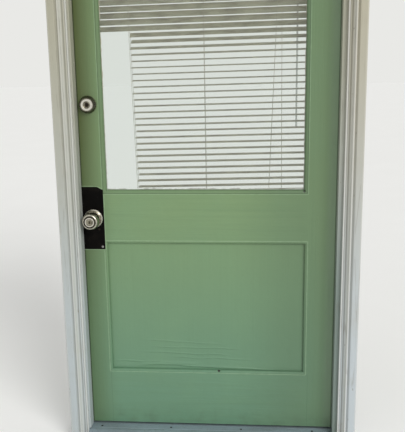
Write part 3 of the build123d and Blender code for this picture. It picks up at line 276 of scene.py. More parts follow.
def leaf_dirt(paint, tone, height):
    """Specks all over and splashes at the leaf's foot."""
    specks = paint.noise(420, detail=1)
    tone = paint.tinted(tone, paint.band(specks, 0.71, 0.78), 0.4, (66, 82, 58))
    foot = paint.band(height, 0.04, 0.2, 1.0, 0.0)
    splash = paint.joined("MULTIPLY", foot, paint.noise(26, detail=5))
    return paint.tinted(tone, paint.band(splash, 0.35, 0.75), 0.4, (84, 108, 84))


def rail_joints(paint, tone, height, across):
    """Fine sunk lines where the stiles meet the bottom rail."""
    low = paint.band(height, 0.236, 0.246, 1.0, 0.0)
    for joint_x in rail_joints_x:
        line = paint.between(across, joint_x - joint_half_width, joint_x + joint_half_width, 0.0012)
        joint = paint.joined("MULTIPLY", line, low)
        tone = paint.tinted(tone, joint, 0.4, (66, 86, 62))
        paint.relief(paint.joined("SUBTRACT", 1.0, joint), 0.0004)
    return tone


def bead_seams(paint, tone, height, across):
    """Dark lines where the glazing beads meet the leaf."""
    for source, start, end in (
        (across, opening_left, opening_left + seam_width),
        (across, opening_right - seam_width, opening_right),
        (height, window_bottom, window_bottom + seam_width),
        (height, window_top - seam_width, window_top),
    ):
        tone = paint.tinted(tone, paint.between(source, start, end, 0.0005), 0.6, (48, 62, 42))
    return tone


def chipped(paint, tone):
    """Small pits down to dark wood."""
    for chip_place, chip_radius in paint_chips:
        chip = paint.spot(chip_place, chip_radius)
        tone = paint.mix(chip, tone, srgb(38, 34, 28))
        paint.relief(paint.joined("SUBTRACT", 1.0, chip), 0.001)
    return tone


def leaf_paint(name, grain, marks=1.0, wear_and_painted_light=sound_paint):
    """Sage green gloss paint, with brush marks of a strength, painted light and shade across the leaf,
    and a tint of painted light over the whole piece.
    """
    paint = Surface(name, srgb(112, 143, 108), 0.4)
    height = paint.axis("Z")
    across = paint.axis("X")
    patches = paint.noise(5, detail=4)
    strokes = paint.noise(300, grain_stretch[grain], detail=2)
    long_strokes = paint.noise(70, grain_stretch[grain], detail=3)
    # Partly the paint's own tone and partly painted reflection of the sky: cooler and bluer low down,
    # warmer up high.
    tone = paint.mix(paint.band(height, 0.1, 1.0), srgb(100, 138, 112), srgb(121, 148, 104))
    tone = paint.tinted(tone, paint.band(patches, 0.4, 0.75), 0.3, (114, 148, 112))
    tone = paint.tinted(tone, paint.band(long_strokes, 0.35, 0.7), 0.16 * marks, (92, 122, 88))
    tone = painted_light_across_leaf(paint, tone, height, across)
    tone = leaf_dirt(paint, tone, height)
    tone = rail_joints(paint, tone, height, across)
    if wear_and_painted_light == shaded_bead_tint:
        tone = bead_seams(paint, tone, height, across)
    tone = chipped(paint, tone)
    tone = paint.mix(wear_and_painted_light[3], tone, srgb(*wear_and_painted_light[:3]))
    paint.set("Base Color", tone)
    paint.set("Roughness", paint.band(patches, 0.3, 0.7, 0.32, 0.5))
    paint.relief(patches, 0.006)
    paint.relief(long_strokes, 0.0009 * marks)
    paint.relief(strokes, 0.0004 * marks)
    return paint.material


# Painted light and shade in bands across a casing, by distance from its inner edge: start, end, share,
# colour
mould_light_and_shade = (
    (0.0000, 0.0075, 0.6, (226, 226, 222)),
    (0.0105, 0.0150, 0.6, (112, 110, 100)),
    (0.0165, 0.0275, 0.55, (216, 215, 208)),
    (0.0295, 0.0335, 0.35, (124, 120, 106)),
    (0.0570, 0.0590, 0.5, (214, 212, 202)),
)


def casing_light_and_shade(paint, tone, casing):
    """Bands of painted light and painted shade along a casing's moulding, a little uneven."""
    letter, edge, outward = casing
    away = paint.joined("MULTIPLY", paint.joined("SUBTRACT", paint.axis(letter), edge), outward)
    away = paint.joined("ADD", away, paint.joined("MULTIPLY", paint.noise(16, detail=2), 0.0012))
    for start, end, share, colour in mould_light_and_shade:
        tone = paint.tinted(tone, paint.between(away, start, end, 0.0012), share, colour)
    return tone


def frame_paint(name, grain, shade=0.1, casing=None, shade_left=1.0):
    """Old white gloss paint: runs of grime, fine cracks, chips down to grey wood, and a painted tint of
    sky light low down.
    Painted shade greys what faces outside, and shade_left is the share of it that is left
    from 1.1 m up. Casing is an axis, the inner edge's place and the way outward, for bands of painted
    light and shade."""
    paint = Surface(name, srgb(184, 188, 180), 0.42)
    height = paint.axis("Z")
    strokes = paint.noise(320, grain_stretch[grain], detail=2)
    grime = paint.noise(45, grain_stretch[grain], detail=4)
    patches = paint.noise(7, detail=4)
    # Bluer low down, a painted tint of sky light, and warmer and darker up high.
    tone = paint.mix(paint.band(height, 0.2, 1.6), srgb(188, 196, 200), srgb(178, 173, 153))
    tone = paint.tinted(tone, paint.band(grime, 0.45, 0.75), 0.22, (150, 148, 136))
    tone = paint.tinted(tone, paint.band(patches, 0.5, 0.8), 0.4, (166, 160, 142))
    if casing is not None:
        tone = casing_light_and_shade(paint, tone, casing)
    # Painted shade: what faces outside is greyed by the share shade, less of it above 1.1 m where
    # shade_left is below 1.
    outside = paint.band(paint.axis("Y"), -0.002, 0.0, 1.0, 0.0)
    outside = paint.joined("MULTIPLY", outside, paint.band(height, 0.45, 1.1, 1.0, shade_left))
    tone = paint.tinted(tone, outside, shade, (104, 120, 110))
    splits = paint.band(paint.cracks(55, grain_stretch[grain]), 0.0, 0.035, 1.0, 0.0)
    aged = paint.band(paint.noise(11, detail=3), 0.48, 0.62)
    splits = paint.joined("MULTIPLY", splits, aged)
    tone = paint.tinted(tone, splits, 0.3, (116, 108, 92))
    low = paint.band(height, 0.05, 0.55, 0.03, 0.0)
    flaked = paint.joined("ADD", paint.noise(120, (1, 1, 0.5), detail=5), low)
    chips = paint.band(flaked, 0.715, 0.735)
    tone = paint.tinted(tone, chips, 0.7, (132, 122, 104))
    paint.set("Base Color", tone)
    paint.set("Roughness", paint.band(patches, 0.3, 0.8, 0.38, 0.65))
    paint.relief(strokes, 0.0004)
    paint.relief(grime, 0.0006)
    paint.relief(paint.joined("SUBTRACT", 1.0, chips), 0.0006)
    paint.relief(paint.joined("SUBTRACT", 1.0, splits), 0.0003)
    return paint.material


def sill_wood():
    """Weathered grey wood with open grain along X."""
    wood = Surface("sill_wood", srgb(140, 132, 118), 0.8)
    grain = wood.noise(150, (0.04, 1, 1), detail=5, distortion=0.4)
    patches = wood.noise(9, detail=4)
    tone = wood.mix(wood.band(grain, 0.3, 0.7), srgb(160, 153, 140), srgb(104, 95, 82))
    tone = wood.mix(wood.band(patches, 0.5, 0.8, 0.0, 0.5), tone, srgb(122, 120, 112))
    wood.set("Base Color", tone)
    wood.relief(grain, 0.001)
    return wood.material


def metal(name, colour, dull, roughness, spread, tarnish=0.5):
    """Bare metal with fine scratches and duller patches."""
    bare = Surface(name, colour, roughness, 1.0)
    patches = bare.noise(60, detail=5)
    scratches = bare.noise(900, (0.15, 1, 1), detail=2)
    tone = bare.mix(bare.band(patches, 0.42, 0.72, 0.0, tarnish), colour, dull)
    bare.set("Base Color", tone)
    bare.set("Roughness", bare.band(patches, 0.3, 0.75, roughness, roughness + spread))
    bare.relief(scratches, 0.00015)
    return bare.material


def turned_nickel(name, axis_z, rings, colour=(172, 167, 150)):
    """Tarnished nickel with rings about the bore of painted highlight, painted shade and grime.
    Each ring is an inner and outer radius, a share and a colour."""
    nickel = Surface(name, srgb(*colour), 0.2, 1.0)
    patches = nickel.noise(150, detail=4)
    tone = nickel.mix(nickel.band(patches, 0.4, 0.64, 0.0, 0.7), srgb(*colour), srgb(66, 62, 50))
    out = nickel.radius_about(bore_x, axis_z)
    for inner, outer, share, ring_colour in rings:
        tone = nickel.tinted(tone, nickel.between(out, inner, outer, 0.0006), share, ring_colour)
    nickel.set("Base Color", tone)
    nickel.set("Roughness", nickel.band(patches, 0.3, 0.75, 0.16, 0.38))
    nickel.relief(patches, 0.0003)
    return nickel.material


def keyed_brass():
    """Key plug, dulled to grey with dirty patches, and its keyway slot painted near black as painted
    shade.
    """
    plug = Surface("plug_brass", srgb(134, 128, 110), 0.32, 1.0)
    wear_and_painted_light = plug.noise(300, detail=3)
    tone = plug.mix(plug.band(wear_and_painted_light, 0.4, 0.7, 0.0, 0.6), srgb(134, 128, 110), srgb(70, 64, 52))
    # Painted shade: the keyway slot, near black.
    slot_side = plug.between(plug.axis("X"), bore_x - 0.0016, bore_x + 0.0016, 0.0005)
    slot_end = plug.between(plug.axis("Z"), knob_z - 0.004, knob_z + 0.004, 0.001)
    tone = plug.tinted(tone, plug.joined("MULTIPLY", slot_side, slot_end), 0.95, (10, 9, 8))
    plug.set("Base Color", tone)
    plug.relief(wear_and_painted_light, 0.0002)
    return plug.material


def threshold_metal():
    """Mill-finish aluminium, trodden: scratches along the tread and grit between the ribs."""
    tread = Surface("threshold_metal", srgb(150, 160, 162), 0.42, 0.75)
    from_rib = tread.joined("PINGPONG", tread.axis("Y"), rib_pitch / 2)
    rubbed_rib = tread.band(from_rib, 0.0005, 0.0011, 1.0, 0.0)
    scratches = tread.noise(500, (0.08, 1, 1), detail=3)
    grit = tread.noise(130, detail=6)
    stain = tread.noise(12, (0.6, 1, 1), detail=4)
    tone = tread.mix(tread.band(stain, 0.4, 0.7), srgb(166, 182, 192), srgb(128, 144, 152))
    tone = tread.tinted(tone, tread.band(from_rib, 0.0010, 0.0018), 0.45, (96, 104, 104))
    tone = tread.tinted(tone, tread.band(grit, 0.55, 0.72), 0.6, (112, 112, 104))
    tone = tread.tinted(tone, rubbed_rib, 0.6, (214, 224, 228))
    tread.set("Base Color", tone)
    tread.set("Roughness", tread.band(stain, 0.35, 0.7, 0.34, 0.55))
    tread.relief(scratches, 0.0003)
    return tread.material


def seal_rubber():
    """Dusty dark rubber."""
    seal = Surface("seal_rubber", srgb(48, 46, 43), 0.75)
    dust = seal.noise(180, detail=5)
    seal.set("Base Color", seal.mix(seal.band(dust, 0.4, 0.75), srgb(40, 38, 36), srgb(92, 88, 78)))
    seal.relief(dust, 0.0003)
    return seal.material


def plate_black():
    """Black enamel, rubbed through to grey in specks and along scratches."""
    enamel = Surface("plate_black", srgb(7, 6, 5), 0.5)
    rubbed = enamel.noise(240, detail=6)
    cloudy = enamel.noise(22, detail=4)
    tone = enamel.mix(enamel.band(cloudy, 0.45, 0.75), srgb(6, 5, 4), srgb(20, 17, 14))
    tone = enamel.tinted(tone, enamel.band(rubbed, 0.70, 0.76), 0.5, (96, 92, 82))
    enamel.set("Base Color", tone)
    enamel.set("Roughness", enamel.band(cloudy, 0.35, 0.7, 0.42, 0.6))
    enamel.set("Specular IOR Level", 0.06)
    enamel.relief(rubbed, 0.0003)
    return enamel.material


def clear_glass():
    """Float glass with a film of dust and dried drops."""
    glass = Surface("clear_glass", srgb(236, 242, 238), 0.02)
    glass.set("IOR", 1.5)
    glass.set("Transmission Weight", 1.0)
    film = glass.noise(14, (1, 1, 0.5), detail=5)
    glass.set("Roughness", glass.band(film, 0.5, 0.85, 0.0, 0.09))
    return glass.material


def blind_metal():
    """Off-white enamel with dust along each slat."""
    enamel = Surface("blind_metal", srgb(196, 191, 172), 0.45)
    dust = enamel.noise(34, (0.5, 1, 1), detail=4)
    tone = enamel.mix(enamel.band(dust, 0.35, 0.75), srgb(194, 187, 166), srgb(162, 154, 134))
    enamel.set("Base Color", tone)
    enamel.relief(enamel.noise(40, (0.3, 1, 1)), 0.0004)
    return enamel.material


def blind_cord():
    """White braided cord, gone yellow."""
    braid = Surface("blind_cord", srgb(206, 200, 184), 0.8)
    strands = braid.noise(1400, (1, 1, 0.6), detail=2)
    tone = braid.mix(braid.band(strands, 0.35, 0.65), srgb(214, 208, 192), srgb(170, 164, 146))
    braid.set("Base Color", tone)
    braid.relief(strands, 0.0002)
    return braid.material


def wand_plastic():
    """Clear acrylic, scuffed."""
    acrylic = Surface("wand_plastic", srgb(226, 230, 228), 0.12)
    acrylic.set("Transmission Weight", 0.7)
    scuffs = acrylic.noise(200, (1, 1, 0.2), detail=4)
    acrylic.set("Roughness", acrylic.band(scuffs, 0.4, 0.8, 0.06, 0.35))
    return acrylic.material


# A look for each material that the solids state
looks = {
    "frame_paint": frame_paint("frame_paint_upright", "Z"),
    "leaf_paint": leaf_paint("leaf_paint_upright", "Z"),
    "sill_wood": sill_wood(),
    "threshold_metal": threshold_metal(),
    "seal_rubber": seal_rubber(),
    "hinge_steel": metal("hinge_steel", srgb(176, 174, 168), srgb(120, 112, 100), 0.34, 0.2),
    "screw_steel": metal("screw_steel", srgb(170, 170, 168), srgb(112, 104, 94), 0.3, 0.2),
    "lock_nickel": metal("lock_nickel", srgb(178, 172, 154), srgb(96, 90, 70), 0.18, 0.2, 0.8),
    "lock_steel": metal("lock_steel", srgb(172, 172, 168), srgb(120, 116, 108), 0.3, 0.2),
    "plug_brass": keyed_brass(),
    "plate_black": plate_black(),
    "clear_glass": clear_glass(),
    "blind_metal": blind_metal(),
    "blind_cord": blind_cord(),
    "wand_plastic": wand_plastic(),
}

# Looks of single pieces
frame_paint_level = frame_paint("frame_paint_level", "X")
# The third number of a frame paint is its share of painted shade on the faces outside.
latch_side_paint = frame_paint("latch_side_paint", "Z", 0.25)
leaf_paint_level = leaf_paint("leaf_paint_level", "X")
leaf_paint_panel = leaf_paint("leaf_paint_panel", "Z", 0.35)
# The beads' paint is darkened as painted shade.
bead_paint_upright = leaf_paint("bead_paint_upright", "Z", 1.0, shaded_bead_tint)
bead_paint_level = leaf_paint("bead_paint_level", "X", 1.0, shaded_bead_tint)
# The ridges' paint is lightened as a painted highlight.
highlighted_ridge_paint = leaf_paint("highlighted_ridge_paint", "Z", 0.35, ridge_highlight_tint)

# Turned pieces of the lock, ring by ring
# A dark ring colour for grime and painted shade, and a light one for painted highlights.
ring_grime_and_shade, ring_highlight = (34, 32, 26), (232, 228, 218)
# Knob: painted highlights on the boss's edge and rim, grime and painted shade in the groove, a duller
# middle.
knob_nickel = turned_nickel("knob_nickel", knob_z, (
    (0.0000, 0.0128, 0.3, (120, 116, 104)),
    (0.0132, 0.0163, 0.75, ring_highlight),
    (0.0169, 0.0212, 0.9, ring_grime_and_shade),
    (0.0222, 0.0262, 0.35, ring_highlight),
))
# Rose: painted shadow under the knob, a darker ring on its slope and a painted highlight on its rim.
rose_nickel = turned_nickel("rose_nickel", knob_z, (
    (0.0000, 0.0240, 0.8, ring_grime_and_shade),
    (0.0262, 0.0288, 0.4, ring_grime_and_shade),
    (0.0306, 0.0340, 0.6, ring_highlight),
), (160, 154, 136))
# Deadbolt collar: painted shade over its sloping side, and a thin lighter ring at its edge.
collar_nickel = turned_nickel("collar_nickel", deadbolt_z, (
    (0.0000, 0.0290, 0.75, (58, 56, 44)),
    (0.0296, 0.0310, 0.5, (170, 168, 158)),
))
# Deadbolt cylinder: painted shade in and round its recess, and a painted highlight on its face ring.
cylinder_nickel = turned_nickel("cylinder_nickel", deadbolt_z, (
    (0.0000, 0.0080, 0.85, (52, 44, 36)),
    (0.0086, 0.0110, 0.4, (96, 90, 78)),
    (0.0125, 0.0205, 0.75, ring_highlight),
))
dark_steel = metal("dark_steel", srgb(60, 53, 46), srgb(34, 30, 26), 0.45, 0.2, 0.6)
own_looks = {
    "outer_knob": knob_nickel,
    "inner_knob": knob_nickel,
    "outer_rose": rose_nickel,
    "inner_rose": rose_nickel,
    "deadbolt_collar": collar_nickel,
    "deadbolt_cylinder": cylinder_nickel,
    "deadbolt_plug": dark_steel,
    "lower_panel": leaf_paint_panel,
    "latch_brickmould": frame_paint("latch_casing_paint", "Z", 0.16, ("X", latch_mould_x, -1)),
    "hinge_brickmould": frame_paint("hinge_casing_paint", "Z", 0.0, ("X", hinge_mould_x, 1)),
    "head_brickmould": frame_paint("head_casing_paint", "X", 0.0, ("Z", head_mould_z, 1)),
    # Deep painted shade on the hinge jamb's outside faces, less of it up high.
    "hinge_jamb": frame_paint("hinge_jamb_paint", "Z", 0.85, None, 0.35),
    "latch_jamb": latch_side_paint,
    "latch_stop": latch_side_paint,
    "head_jamb": frame_paint_level,
    "top_rail": leaf_paint_level,
    "lock_rail": leaf_paint_level,
    "bottom_rail": leaf_paint_level,
    "glazing_bead_bottom": bead_paint_level,
    "glazing_bead_top": bead_paint_level,
    "glazing_bead_latch_side": bead_paint_upright,
    "glazing_bead_hinge_side": bead_paint_upright,
}
for node_name, node in nodes.items():
    for material_slot in node.material_slots:
        stated = material_slot.material.name.split(".")[0]
        material_slot.material = own_looks.get(node_name, looks[stated])


# Pieces that this script models
def finished_mesh(name, shape):
    """A mesh with the shape's faces; the shape itself is freed."""
    mesh = bpy.data.meshes.new(name)
    shape.to_mesh(mesh)
    shape.free()
    return mesh


def fill_rows(shape, rows):
    """Faces between neighbouring rows of vertices, all turned to the same side."""
    for near, far in zip(rows, rows[1:]):
        for index in range(len(near) - 1):
            shape.faces.new((near[index], far[index], far[index + 1], near[index + 1]))
    bmesh.ops.recalc_face_normals(shape, faces=shape.faces)


def make_piece(name, mesh, body, material, smooth=True):
    """Link a finished mesh as a piece that rides on a body."""
    piece = bpy.data.objects.new(name, mesh)
    bpy.context.scene.collection.objects.link(piece)
    mesh.materials.append(material)
    for face in mesh.polygons:
        face.use_smooth = smooth
    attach(piece, body)
    return piece


# Paint that has wrinkled and run on the lower panel
# Each run: start x and z, end x and z, half width, height
run_lines = (
    (-0.215, 0.3590, 0.030, 0.3490, 0.0022, 0.0015),
    (-0.190, 0.3350, 0.090, 0.3300, 0.0018, 0.0018),
    (-0.230, 0.3120, 0.060, 0.3070, 0.0020, 0.0020),
    (-0.120, 0.2950, 0.150, 0.2890, 0.0018, 0.0016),
    (-0.330, 0.2780, -0.080, 0.2730, 0.0022, 0.0022),
    (-0.240, 0.2660, -0.040, 0.2710, 0.0050, 0.0036),
    (-0.100, 0.2640, 0.110, 0.2560, 0.0030, 0.0030),
    (-0.050, 0.2600, 0.230, 0.2520, 0.0022, 0.0022),
    (0.060, 0.2500, 0.300, 0.2480, 0.0018, 0.0018),
)
paint_film, film_wave, thinnest_film = 0.0003, 0.00018, 0.00005
skin_gap, skin_fade = 0.00003, 0.004
run_overshoot, run_fade, run_waver = 0.1, 5, 0.0035


def wrinkle_height(x, z):
    """How far the paint stands off the panel at a place, in metres."""
    wave = noise.noise(Vector((x * 5, 0, z * 9)))
    height = paint_film + film_wave * wave
    for start_x, start_z, end_x, end_z, width, rise in run_lines:
        share = (x - start_x) / (end_x - start_x)
        if not -run_overshoot < share < 1 + run_overshoot:
            continue
        waver = run_waver * noise.noise(Vector((x * 14, start_z * 40, 0)))
        line_z = start_z + share * (end_z - start_z) + waver
        fade = min(1.0, (share + run_overshoot) * run_fade, (1 + run_overshoot - share) * run_fade)
        height += rise * fade * math.exp(-(((z - line_z) / width) ** 2))
    return max(height, thinnest_film)


def paint_skin():
    """A skin of paint over the whole panel, finer towards its foot."""
    left = opening_left + moulding_width
    right = opening_right - moulding_width
    foot = panel_bottom + moulding_width
    head = panel_top - moulding_width
    columns, fine_rows, coarse_rows = 150, 90, 40
    fine_reach = 0.13
    coarse_reach = head - foot - fine_reach
    heights = [foot + fine_reach * index / fine_rows for index in range(fine_rows + 1)]
    for index in range(1, coarse_rows + 1):
        heights.append(foot + fine_reach + coarse_reach * index / coarse_rows)
    shape = bmesh.new()
    rows = []
    for z in heights:
        row = []
        for column in range(columns + 1):
            x = left + (right - left) * column / columns
            edge = min(x - left, right - x, z - foot, head - z)
            rise = wrinkle_height(x, z) * min(1.0, edge / skin_fade)
            row.append(shape.verts.new((x, panel_face_y - skin_gap - rise, z)))
        rows.append(row)
    for lower, upper in zip(rows, rows[1:]):
        for index in range(columns):
            shape.faces.new((lower[index], lower[index + 1], upper[index + 1], upper[index]))
    mesh = finished_mesh("panel_paint_skin", shape)
    make_piece("panel_paint_skin", mesh, "leaf", leaf_paint_panel)


paint_skin()


# Old white paint along the edges of the glass
sight_left, sight_right = opening_left + bead_width, opening_right - bead_width
sight_bottom, sight_top = window_bottom + bead_width, window_top - bead_width
foot_corners = ((sight_left, glass_face_y, sight_bottom), (sight_right, glass_face_y, sight_bottom))
head_corners = ((sight_left, glass_face_y, sight_top), (sight_right, glass_face_y, sight_top))
edge_white = frame_paint("edge_white", "X")
edge_paint_step = 0.003

# Its section: the share of its width and how far it stands off the glass
edge_paint_section = ((0.0, 0.0002), (0.6, 0.00045), (0.9, 0.0003), (1.0, 0.00002))


def edge_paint(name, start, end, inward, reach, seed):
    """A ragged line of paint on the outside of the glass, from start to end along a bead."""
    along = Vector(end) - Vector(start)
    steps = int(along.length / edge_paint_step)
    shape = bmesh.new()
    rows = []
    for step in range(steps + 1):
        place = Vector(start) + along * (step / steps)
        rough = noise.noise(Vector((place.x * 90, seed, place.z * 90)))
        broad = noise.noise(Vector((place.x * 14, seed + 5, place.z * 14)))
        width = reach * max(0.15, 0.55 + 0.7 * broad + 0.45 * rough)
        rows.append([
            shape.verts.new(place + inward * width * share + Vector((0, -rise, 0)))
            for share, rise in edge_paint_section
        ])
    fill_rows(shape, rows)
    make_piece(name, finished_mesh(name, shape), "leaf", edge_white)


edge_paint("glass_foot_paint", *foot_corners, Vector((0, 0, 1)), 0.006, 1)
edge_paint("glass_head_paint", *head_corners, Vector((0, 0, -1)), 0.003, 2)
edge_paint("glass_latch_side_paint", foot_corners[0], head_corners[0], Vector((1, 0, 0)), 0.004, 3)
edge_paint("glass_hinge_side_paint", foot_corners[1], head_corners[1], Vector((-1, 0, 0)), 0.003, 4)


# Ridges that paint has left along edges of the leaf's face
# Their section, in shares of a ridge's width and height
ridge_section = ((-0.5, -0.02), (-0.3, 0.75), (0.0, 1.0), (0.3, 0.75), (0.5, -0.02))
ridge_step = 0.005


def edge_ridge(name, corners, closed, width, height):
    """A low uneven ridge on the leaf's outside face, along corners given as x and z."""
    places = [Vector((x, 0, z)) for x, z in corners]
    if closed:
        places.append(places[0])
    shape = bmesh.new()
    for start, end in zip(places, places[1:]):
        along = end - start
        aside = along.normalized().cross(Vector((0, 1, 0)))
        steps = max(2, int(along.length / ridge_step))
        rows = []
        for step in range(steps + 1):
            place = start + along * (step / steps)
            rough = 1 + 0.5 * noise.noise(place * 60) + 0.3 * noise.noise(place * 240)
            row = []
            for share, rise in ridge_section:
                outward = Vector((0, -height * rough * rise, 0))
                row.append(shape.verts.new(place + aside * width * rough * share + outward))
            rows.append(row)
        fill_rows(shape, rows)
    # Lighter paint along the ridge: a painted highlight.
    make_piece(name, finished_mesh(name, shape), "leaf", highlighted_ridge_paint)


def opening_corners(low, high, away):
    """The corners of an opening in the leaf, moved outward."""
    left, right = opening_left - away, opening_right + away
    return [(left, low - away), (right, low - away), (right, high + away), (left, high + away)]


edge_ridge("panel_edge_ridge", opening_corners(panel_bottom, panel_top, 0.0018), True, 0.0036, 0.0005)
edge_ridge("window_edge_ridge", opening_corners(window_bottom, window_top, 0.0016), True, 0.0030, 0.0005)

# Round the lock plate: along its foot and up its side, and along its head, whose corner is cut
ridge_off_plate = 0.0018
plate_start_x = plate_end_x - 0.095
side_ridge_top = window_bottom - 0.004
cut_width, cut_depth = 0.0212, 0.0078
plate_foot = [
    (plate_start_x, plate_bottom - ridge_off_plate),
    (plate_end_x + ridge_off_plate, plate_bottom - ridge_off_plate),
    (plate_end_x + ridge_off_plate, side_ridge_top),
]
plate_head = [
    (plate_start_x, plate_top + ridge_off_plate),
    (plate_end_x - cut_width, plate_top + ridge_off_plate),
    (opening_left - ridge_off_plate, plate_top - cut_depth),
]
edge_ridge("plate_foot_ridge", plate_foot, False, 0.0040, 0.0012)
edge_ridge("plate_head_ridge", plate_head, False, 0.0036, 0.0012)


# Screws with cross recesses, in place of the plain ones
head_sides = 24
same_point, same_plane = 1e-6, 1e-5

# Sizes of a screw, in shares of its head's radius
recess_arm, recess_half_width, recess_floor, recess_depth = 0.58, 0.15, 0.6, 0.45
rim_radius, rim_depth = 0.94, 0.06
shank_radius, neck_depth, shank_depth = 0.5, 0.6, 1.2

# Of the lock plate's two screws, the upper one is dark
dark_screw_above = 0.75


def separate_solids(node):
    """The vertices of each separate solid in a node, in the same order every time."""
    shape = bmesh.new()
    shape.from_mesh(node.data)
    bmesh.ops.remove_doubles(shape, verts=shape.verts, dist=same_point)
    left = set(shape.verts)
    solids = []
    for first in shape.verts:
        if first not in left:
            continue
        left.remove(first)
        reached = [first]
        for vert in reached:
            for edge in vert.link_edges:
                other = edge.other_vert(vert)
                if other in left:
                    left.remove(other)
                    reached.append(other)
        solids.append([vert.co.copy() for vert in reached])
    shape.free()
    return solids


def screw_place(points):
    """Centre of a screw's head face, the direction it is driven in, and its head's radius."""
    low = Vector([min(p[i] for p in points) for i in range(3)])
    high = Vector([max(p[i] for p in points) for i in range(3)])
    size = high - low
    axis = max(range(3), key=lambda i: size[i])
    radius = max(size[i] for i in range(3) if i != axis) / 2
    middle = (low + high) / 2

    def spread(end):
        on_end = [point for point in points if abs(point[axis] - end[axis]) < same_plane]
        return max((point - middle).length for point in on_end)

    head, tip = (high, low) if spread(high) > spread(low) else (low, high)
    face = middle.copy()
    face[axis] = head[axis]
    driven = Vector((0, 0, 0))
    driven[axis] = 1 if tip[axis] > head[axis] else -1
    return face, driven, radius


def cross_outline(radius):
    """Corners of a cross recess, anticlockwise, for a head's radius."""
    arm, width = recess_arm * radius, recess_half_width * radius
    quarter = [(arm, -width), (arm, width), (width, width)]
    turned = []
    for turn in range(4):
        for x, y in quarter:
            for _ in range(turn):
                x, y = -y, x
            turned.append((x, y))
    return turned


def add_screw(shape, face, driven, radius, turn, material_index):
    """One flat head with a cross recess, and the start of its shank."""
    side = driven.orthogonal().normalized()
    other = driven.cross(side)
    cosine, sine = math.cos(turn), math.sin(turn)
    side, other = side * cosine + other * sine, other * cosine - side * sine
    made = []

    def ring(points, depth):
        return [shape.verts.new(face + side * x + other * y + driven * depth) for x, y in points]

    def circle(ring_radius):
        angles = [math.tau * i / head_sides for i in range(head_sides)]
        return [(ring_radius * math.cos(angle), ring_radius * math.sin(angle)) for angle in angles]

    def skirt(upper, lower):
        for i in range(len(upper)):
            j = (i + 1) % len(upper)
            made.append(shape.faces.new((upper[i], upper[j], lower[j], lower[i])))

    recess = cross_outline(radius)
    mouth = ring(recess, 0)
    rim = ring(circle(radius * rim_radius), 0)
    loops = [
        shape.edges.new((loop[i], loop[(i + 1) % len(loop)]))
        for loop in (mouth, rim)
        for i in range(len(loop))
    ]
    filled = bmesh.ops.triangle_fill(shape, use_beauty=True, edges=loops)
    made += [part for part in filled["geom"] if isinstance(part, bmesh.types.BMFace)]
    edge = ring(circle(radius), radius * rim_depth)
    neck = ring(circle(radius * shank_radius), radius * neck_depth)
    end = ring(circle(radius * shank_radius), radius * shank_depth)
    skirt(rim, edge)
    skirt(edge, neck)
    skirt(neck, end)
    made.append(shape.faces.new(end))
    floor_points = [(x * recess_floor, y * recess_floor) for x, y in recess]
    floor_ring = ring(floor_points, radius * recess_depth)
    skirt(mouth, floor_ring)
    made.append(shape.faces.new(floor_ring))
    for made_face in made:
        made_face.material_index = material_index


def recessed_screws(node_name, body, material, dark_test=None):
    """Stand detailed screws where a node's plain ones are."""
    seeded = random.Random(len(node_name))
    shape = bmesh.new()
    for points in separate_solids(nodes[node_name]):
        face, driven, radius = screw_place(points)
        dark = dark_test is not None and dark_test(face)
        add_screw(shape, face, driven, radius, seeded.uniform(0, math.pi), 1 if dark else 0)
    bmesh.ops.recalc_face_normals(shape, faces=shape.faces)
    name = node_name + "_recessed"
    mesh = finished_mesh(name, shape)
    screws = make_piece(name, mesh, body, material, smooth=False)
    mesh.materials.append(dark_steel)
    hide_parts(node_name)


def on_dark_screw(face):
    """True at the head of the dark screw, on the leaf's outside face."""
    return face.y < 0 and face.z > dark_screw_above


recessed_screws("leaf_screws", "leaf", looks["screw_steel"], on_dark_screw)
recessed_screws("frame_screws", "frame", looks["screw_steel"])
recessed_screws("threshold_screws", "frame", dark_steel)


# Ladder cords' cross rungs, one under each slat
def add_thread(shape, start, end):
    """A three-sided thread between two points."""
    angles = (0, math.tau / 3, 2 * math.tau / 3)
    near, far = [
        [shape.verts.new(place + Vector((math.cos(a), 0, math.sin(a))) * rung_radius) for a in angles]
        for place in (start, end)
    ]
    for i in range(3):
        j = (i + 1) % 3
        shape.faces.new((near[i], near[j], far[j], far[i]))
    shape.faces.new(near)
    shape.faces.new(far)


def ladder_rungs():
    """Thin threads that carry the slats between the cords of each ladder."""
    shape = bmesh.new()
    for index in range(slat_count):
        height = lowest_slat + index * slat_pitch
        share = index / (slat_count - 1)
        closing = min(1.0, max(0.0, (height - closing_starts) / (closing_ends - closing_starts)))
        closing = closing * closing * (3 - 2 * closing)
        tilt = math.radians(open_tilt_deg + (closed_tilt_deg - open_tilt_deg) * closing)
        across = Vector((0, math.cos(tilt), math.sin(tilt)))
        for foot_x, head_x in zip(ladder_bottom_x, ladder_top_x):
            x = foot_x + (head_x - foot_x) * share
            middle = Vector((x, blind_y, leaf_bottom + height + x * blind_slope - rung_below_slat))
            reach = across * slat_width / 2
            add_thread(shape, middle - reach, middle + reach)
    bmesh.ops.recalc_face_normals(shape, faces=shape.faces)
    mesh = finished_mesh("ladder_rungs", shape)
    make_piece("ladder_rungs", mesh, "leaf", looks["blind_cord"])


ladder_rungs()


# Softened edges on the frame's square timbers
arris_width = 0.0012
weld_distance = 0.00001
sharp_edge_deg = 40


def soften(node_name, width):
    """Round a node's sharp edges a little."""
    weld = nodes[node_name].modifiers.new("weld", "WELD")
    weld.merge_threshold = weld_distance
    bevel = nodes[node_name].modifiers.new("bevel", "BEVEL")
    bevel.width = width
    bevel.segments = 2
    bevel.limit_method = "ANGLE"
    bevel.angle_limit = math.radians(sharp_edge_deg)


for timber in ("latch_jamb", "hinge_jamb", "head_jamb", "latch_stop"):
    soften(timber, arris_width)


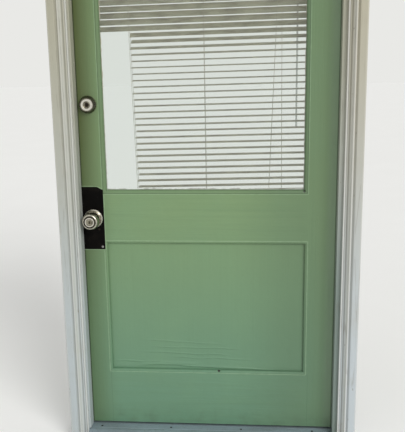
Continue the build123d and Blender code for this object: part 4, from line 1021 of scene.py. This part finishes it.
# Floor and light
floor_size, floor_z = 60, -0.0005
room_strength, backdrop_strength = 0.62, 1.0
key_direction, key_strength, key_softness = (-0.55, 0.75, -0.55), 1.5, 0.5


def stage_floor():
    """A wide pale floor under the sill."""
    bpy.ops.mesh.primitive_plane_add(size=floor_size, location=(0, 0, floor_z))
    floor = bpy.context.object
    floor.name = "floor"
    surface = Surface("floor", srgb(249, 249, 246), 0.9)
    mottle = surface.noise(2, detail=2)
    surface.set("Base Color", surface.mix(mottle, srgb(248, 248, 245), srgb(251, 251, 248)))
    floor.data.materials.append(surface.material)


def studio_world():
    """An even soft room light, which shows as a pale backdrop."""
    world = bpy.data.worlds.new("studio")
    bpy.context.scene.world = world
    world.use_nodes = True
    parts, links = world.node_tree.nodes, world.node_tree.links
    parts.clear()
    light = parts.new("ShaderNodeBackground")
    light.inputs["Color"].default_value = (1, 1, 1, 1)
    light.inputs["Strength"].default_value = room_strength
    backdrop = parts.new("ShaderNodeBackground")
    backdrop.inputs["Color"].default_value = srgb(233, 233, 230)
    backdrop.inputs["Strength"].default_value = backdrop_strength
    path = parts.new("ShaderNodeLightPath")
    seen = path.outputs["Is Camera Ray"]
    for name in ("Is Glossy Ray", "Is Transmission Ray"):
        either = parts.new("ShaderNodeMath")
        either.operation = "MAXIMUM"
        links.new(seen, either.inputs[0])
        links.new(path.outputs[name], either.inputs[1])
        seen = either.outputs[0]
    chosen = parts.new("ShaderNodeMixShader")
    links.new(seen, chosen.inputs[0])
    links.new(light.outputs[0], chosen.inputs[1])
    links.new(backdrop.outputs[0], chosen.inputs[2])
    links.new(chosen.outputs[0], parts.new("ShaderNodeOutputWorld").inputs[0])


def studio_lamp(name, towards, strength, softness):
    """A soft lamp as far as the sun, shining along a direction."""
    data = bpy.data.lights.new(name, "SUN")
    data.energy = strength
    data.angle = softness
    lamp = bpy.data.objects.new(name, data)
    lamp.rotation_euler = Vector(towards).to_track_quat("-Z", "Y").to_euler()
    bpy.context.scene.collection.objects.link(lamp)


stage_floor()
studio_world()
studio_lamp("key", key_direction, key_strength, key_softness)
bpy.context.scene.view_settings.view_transform = "Standard"
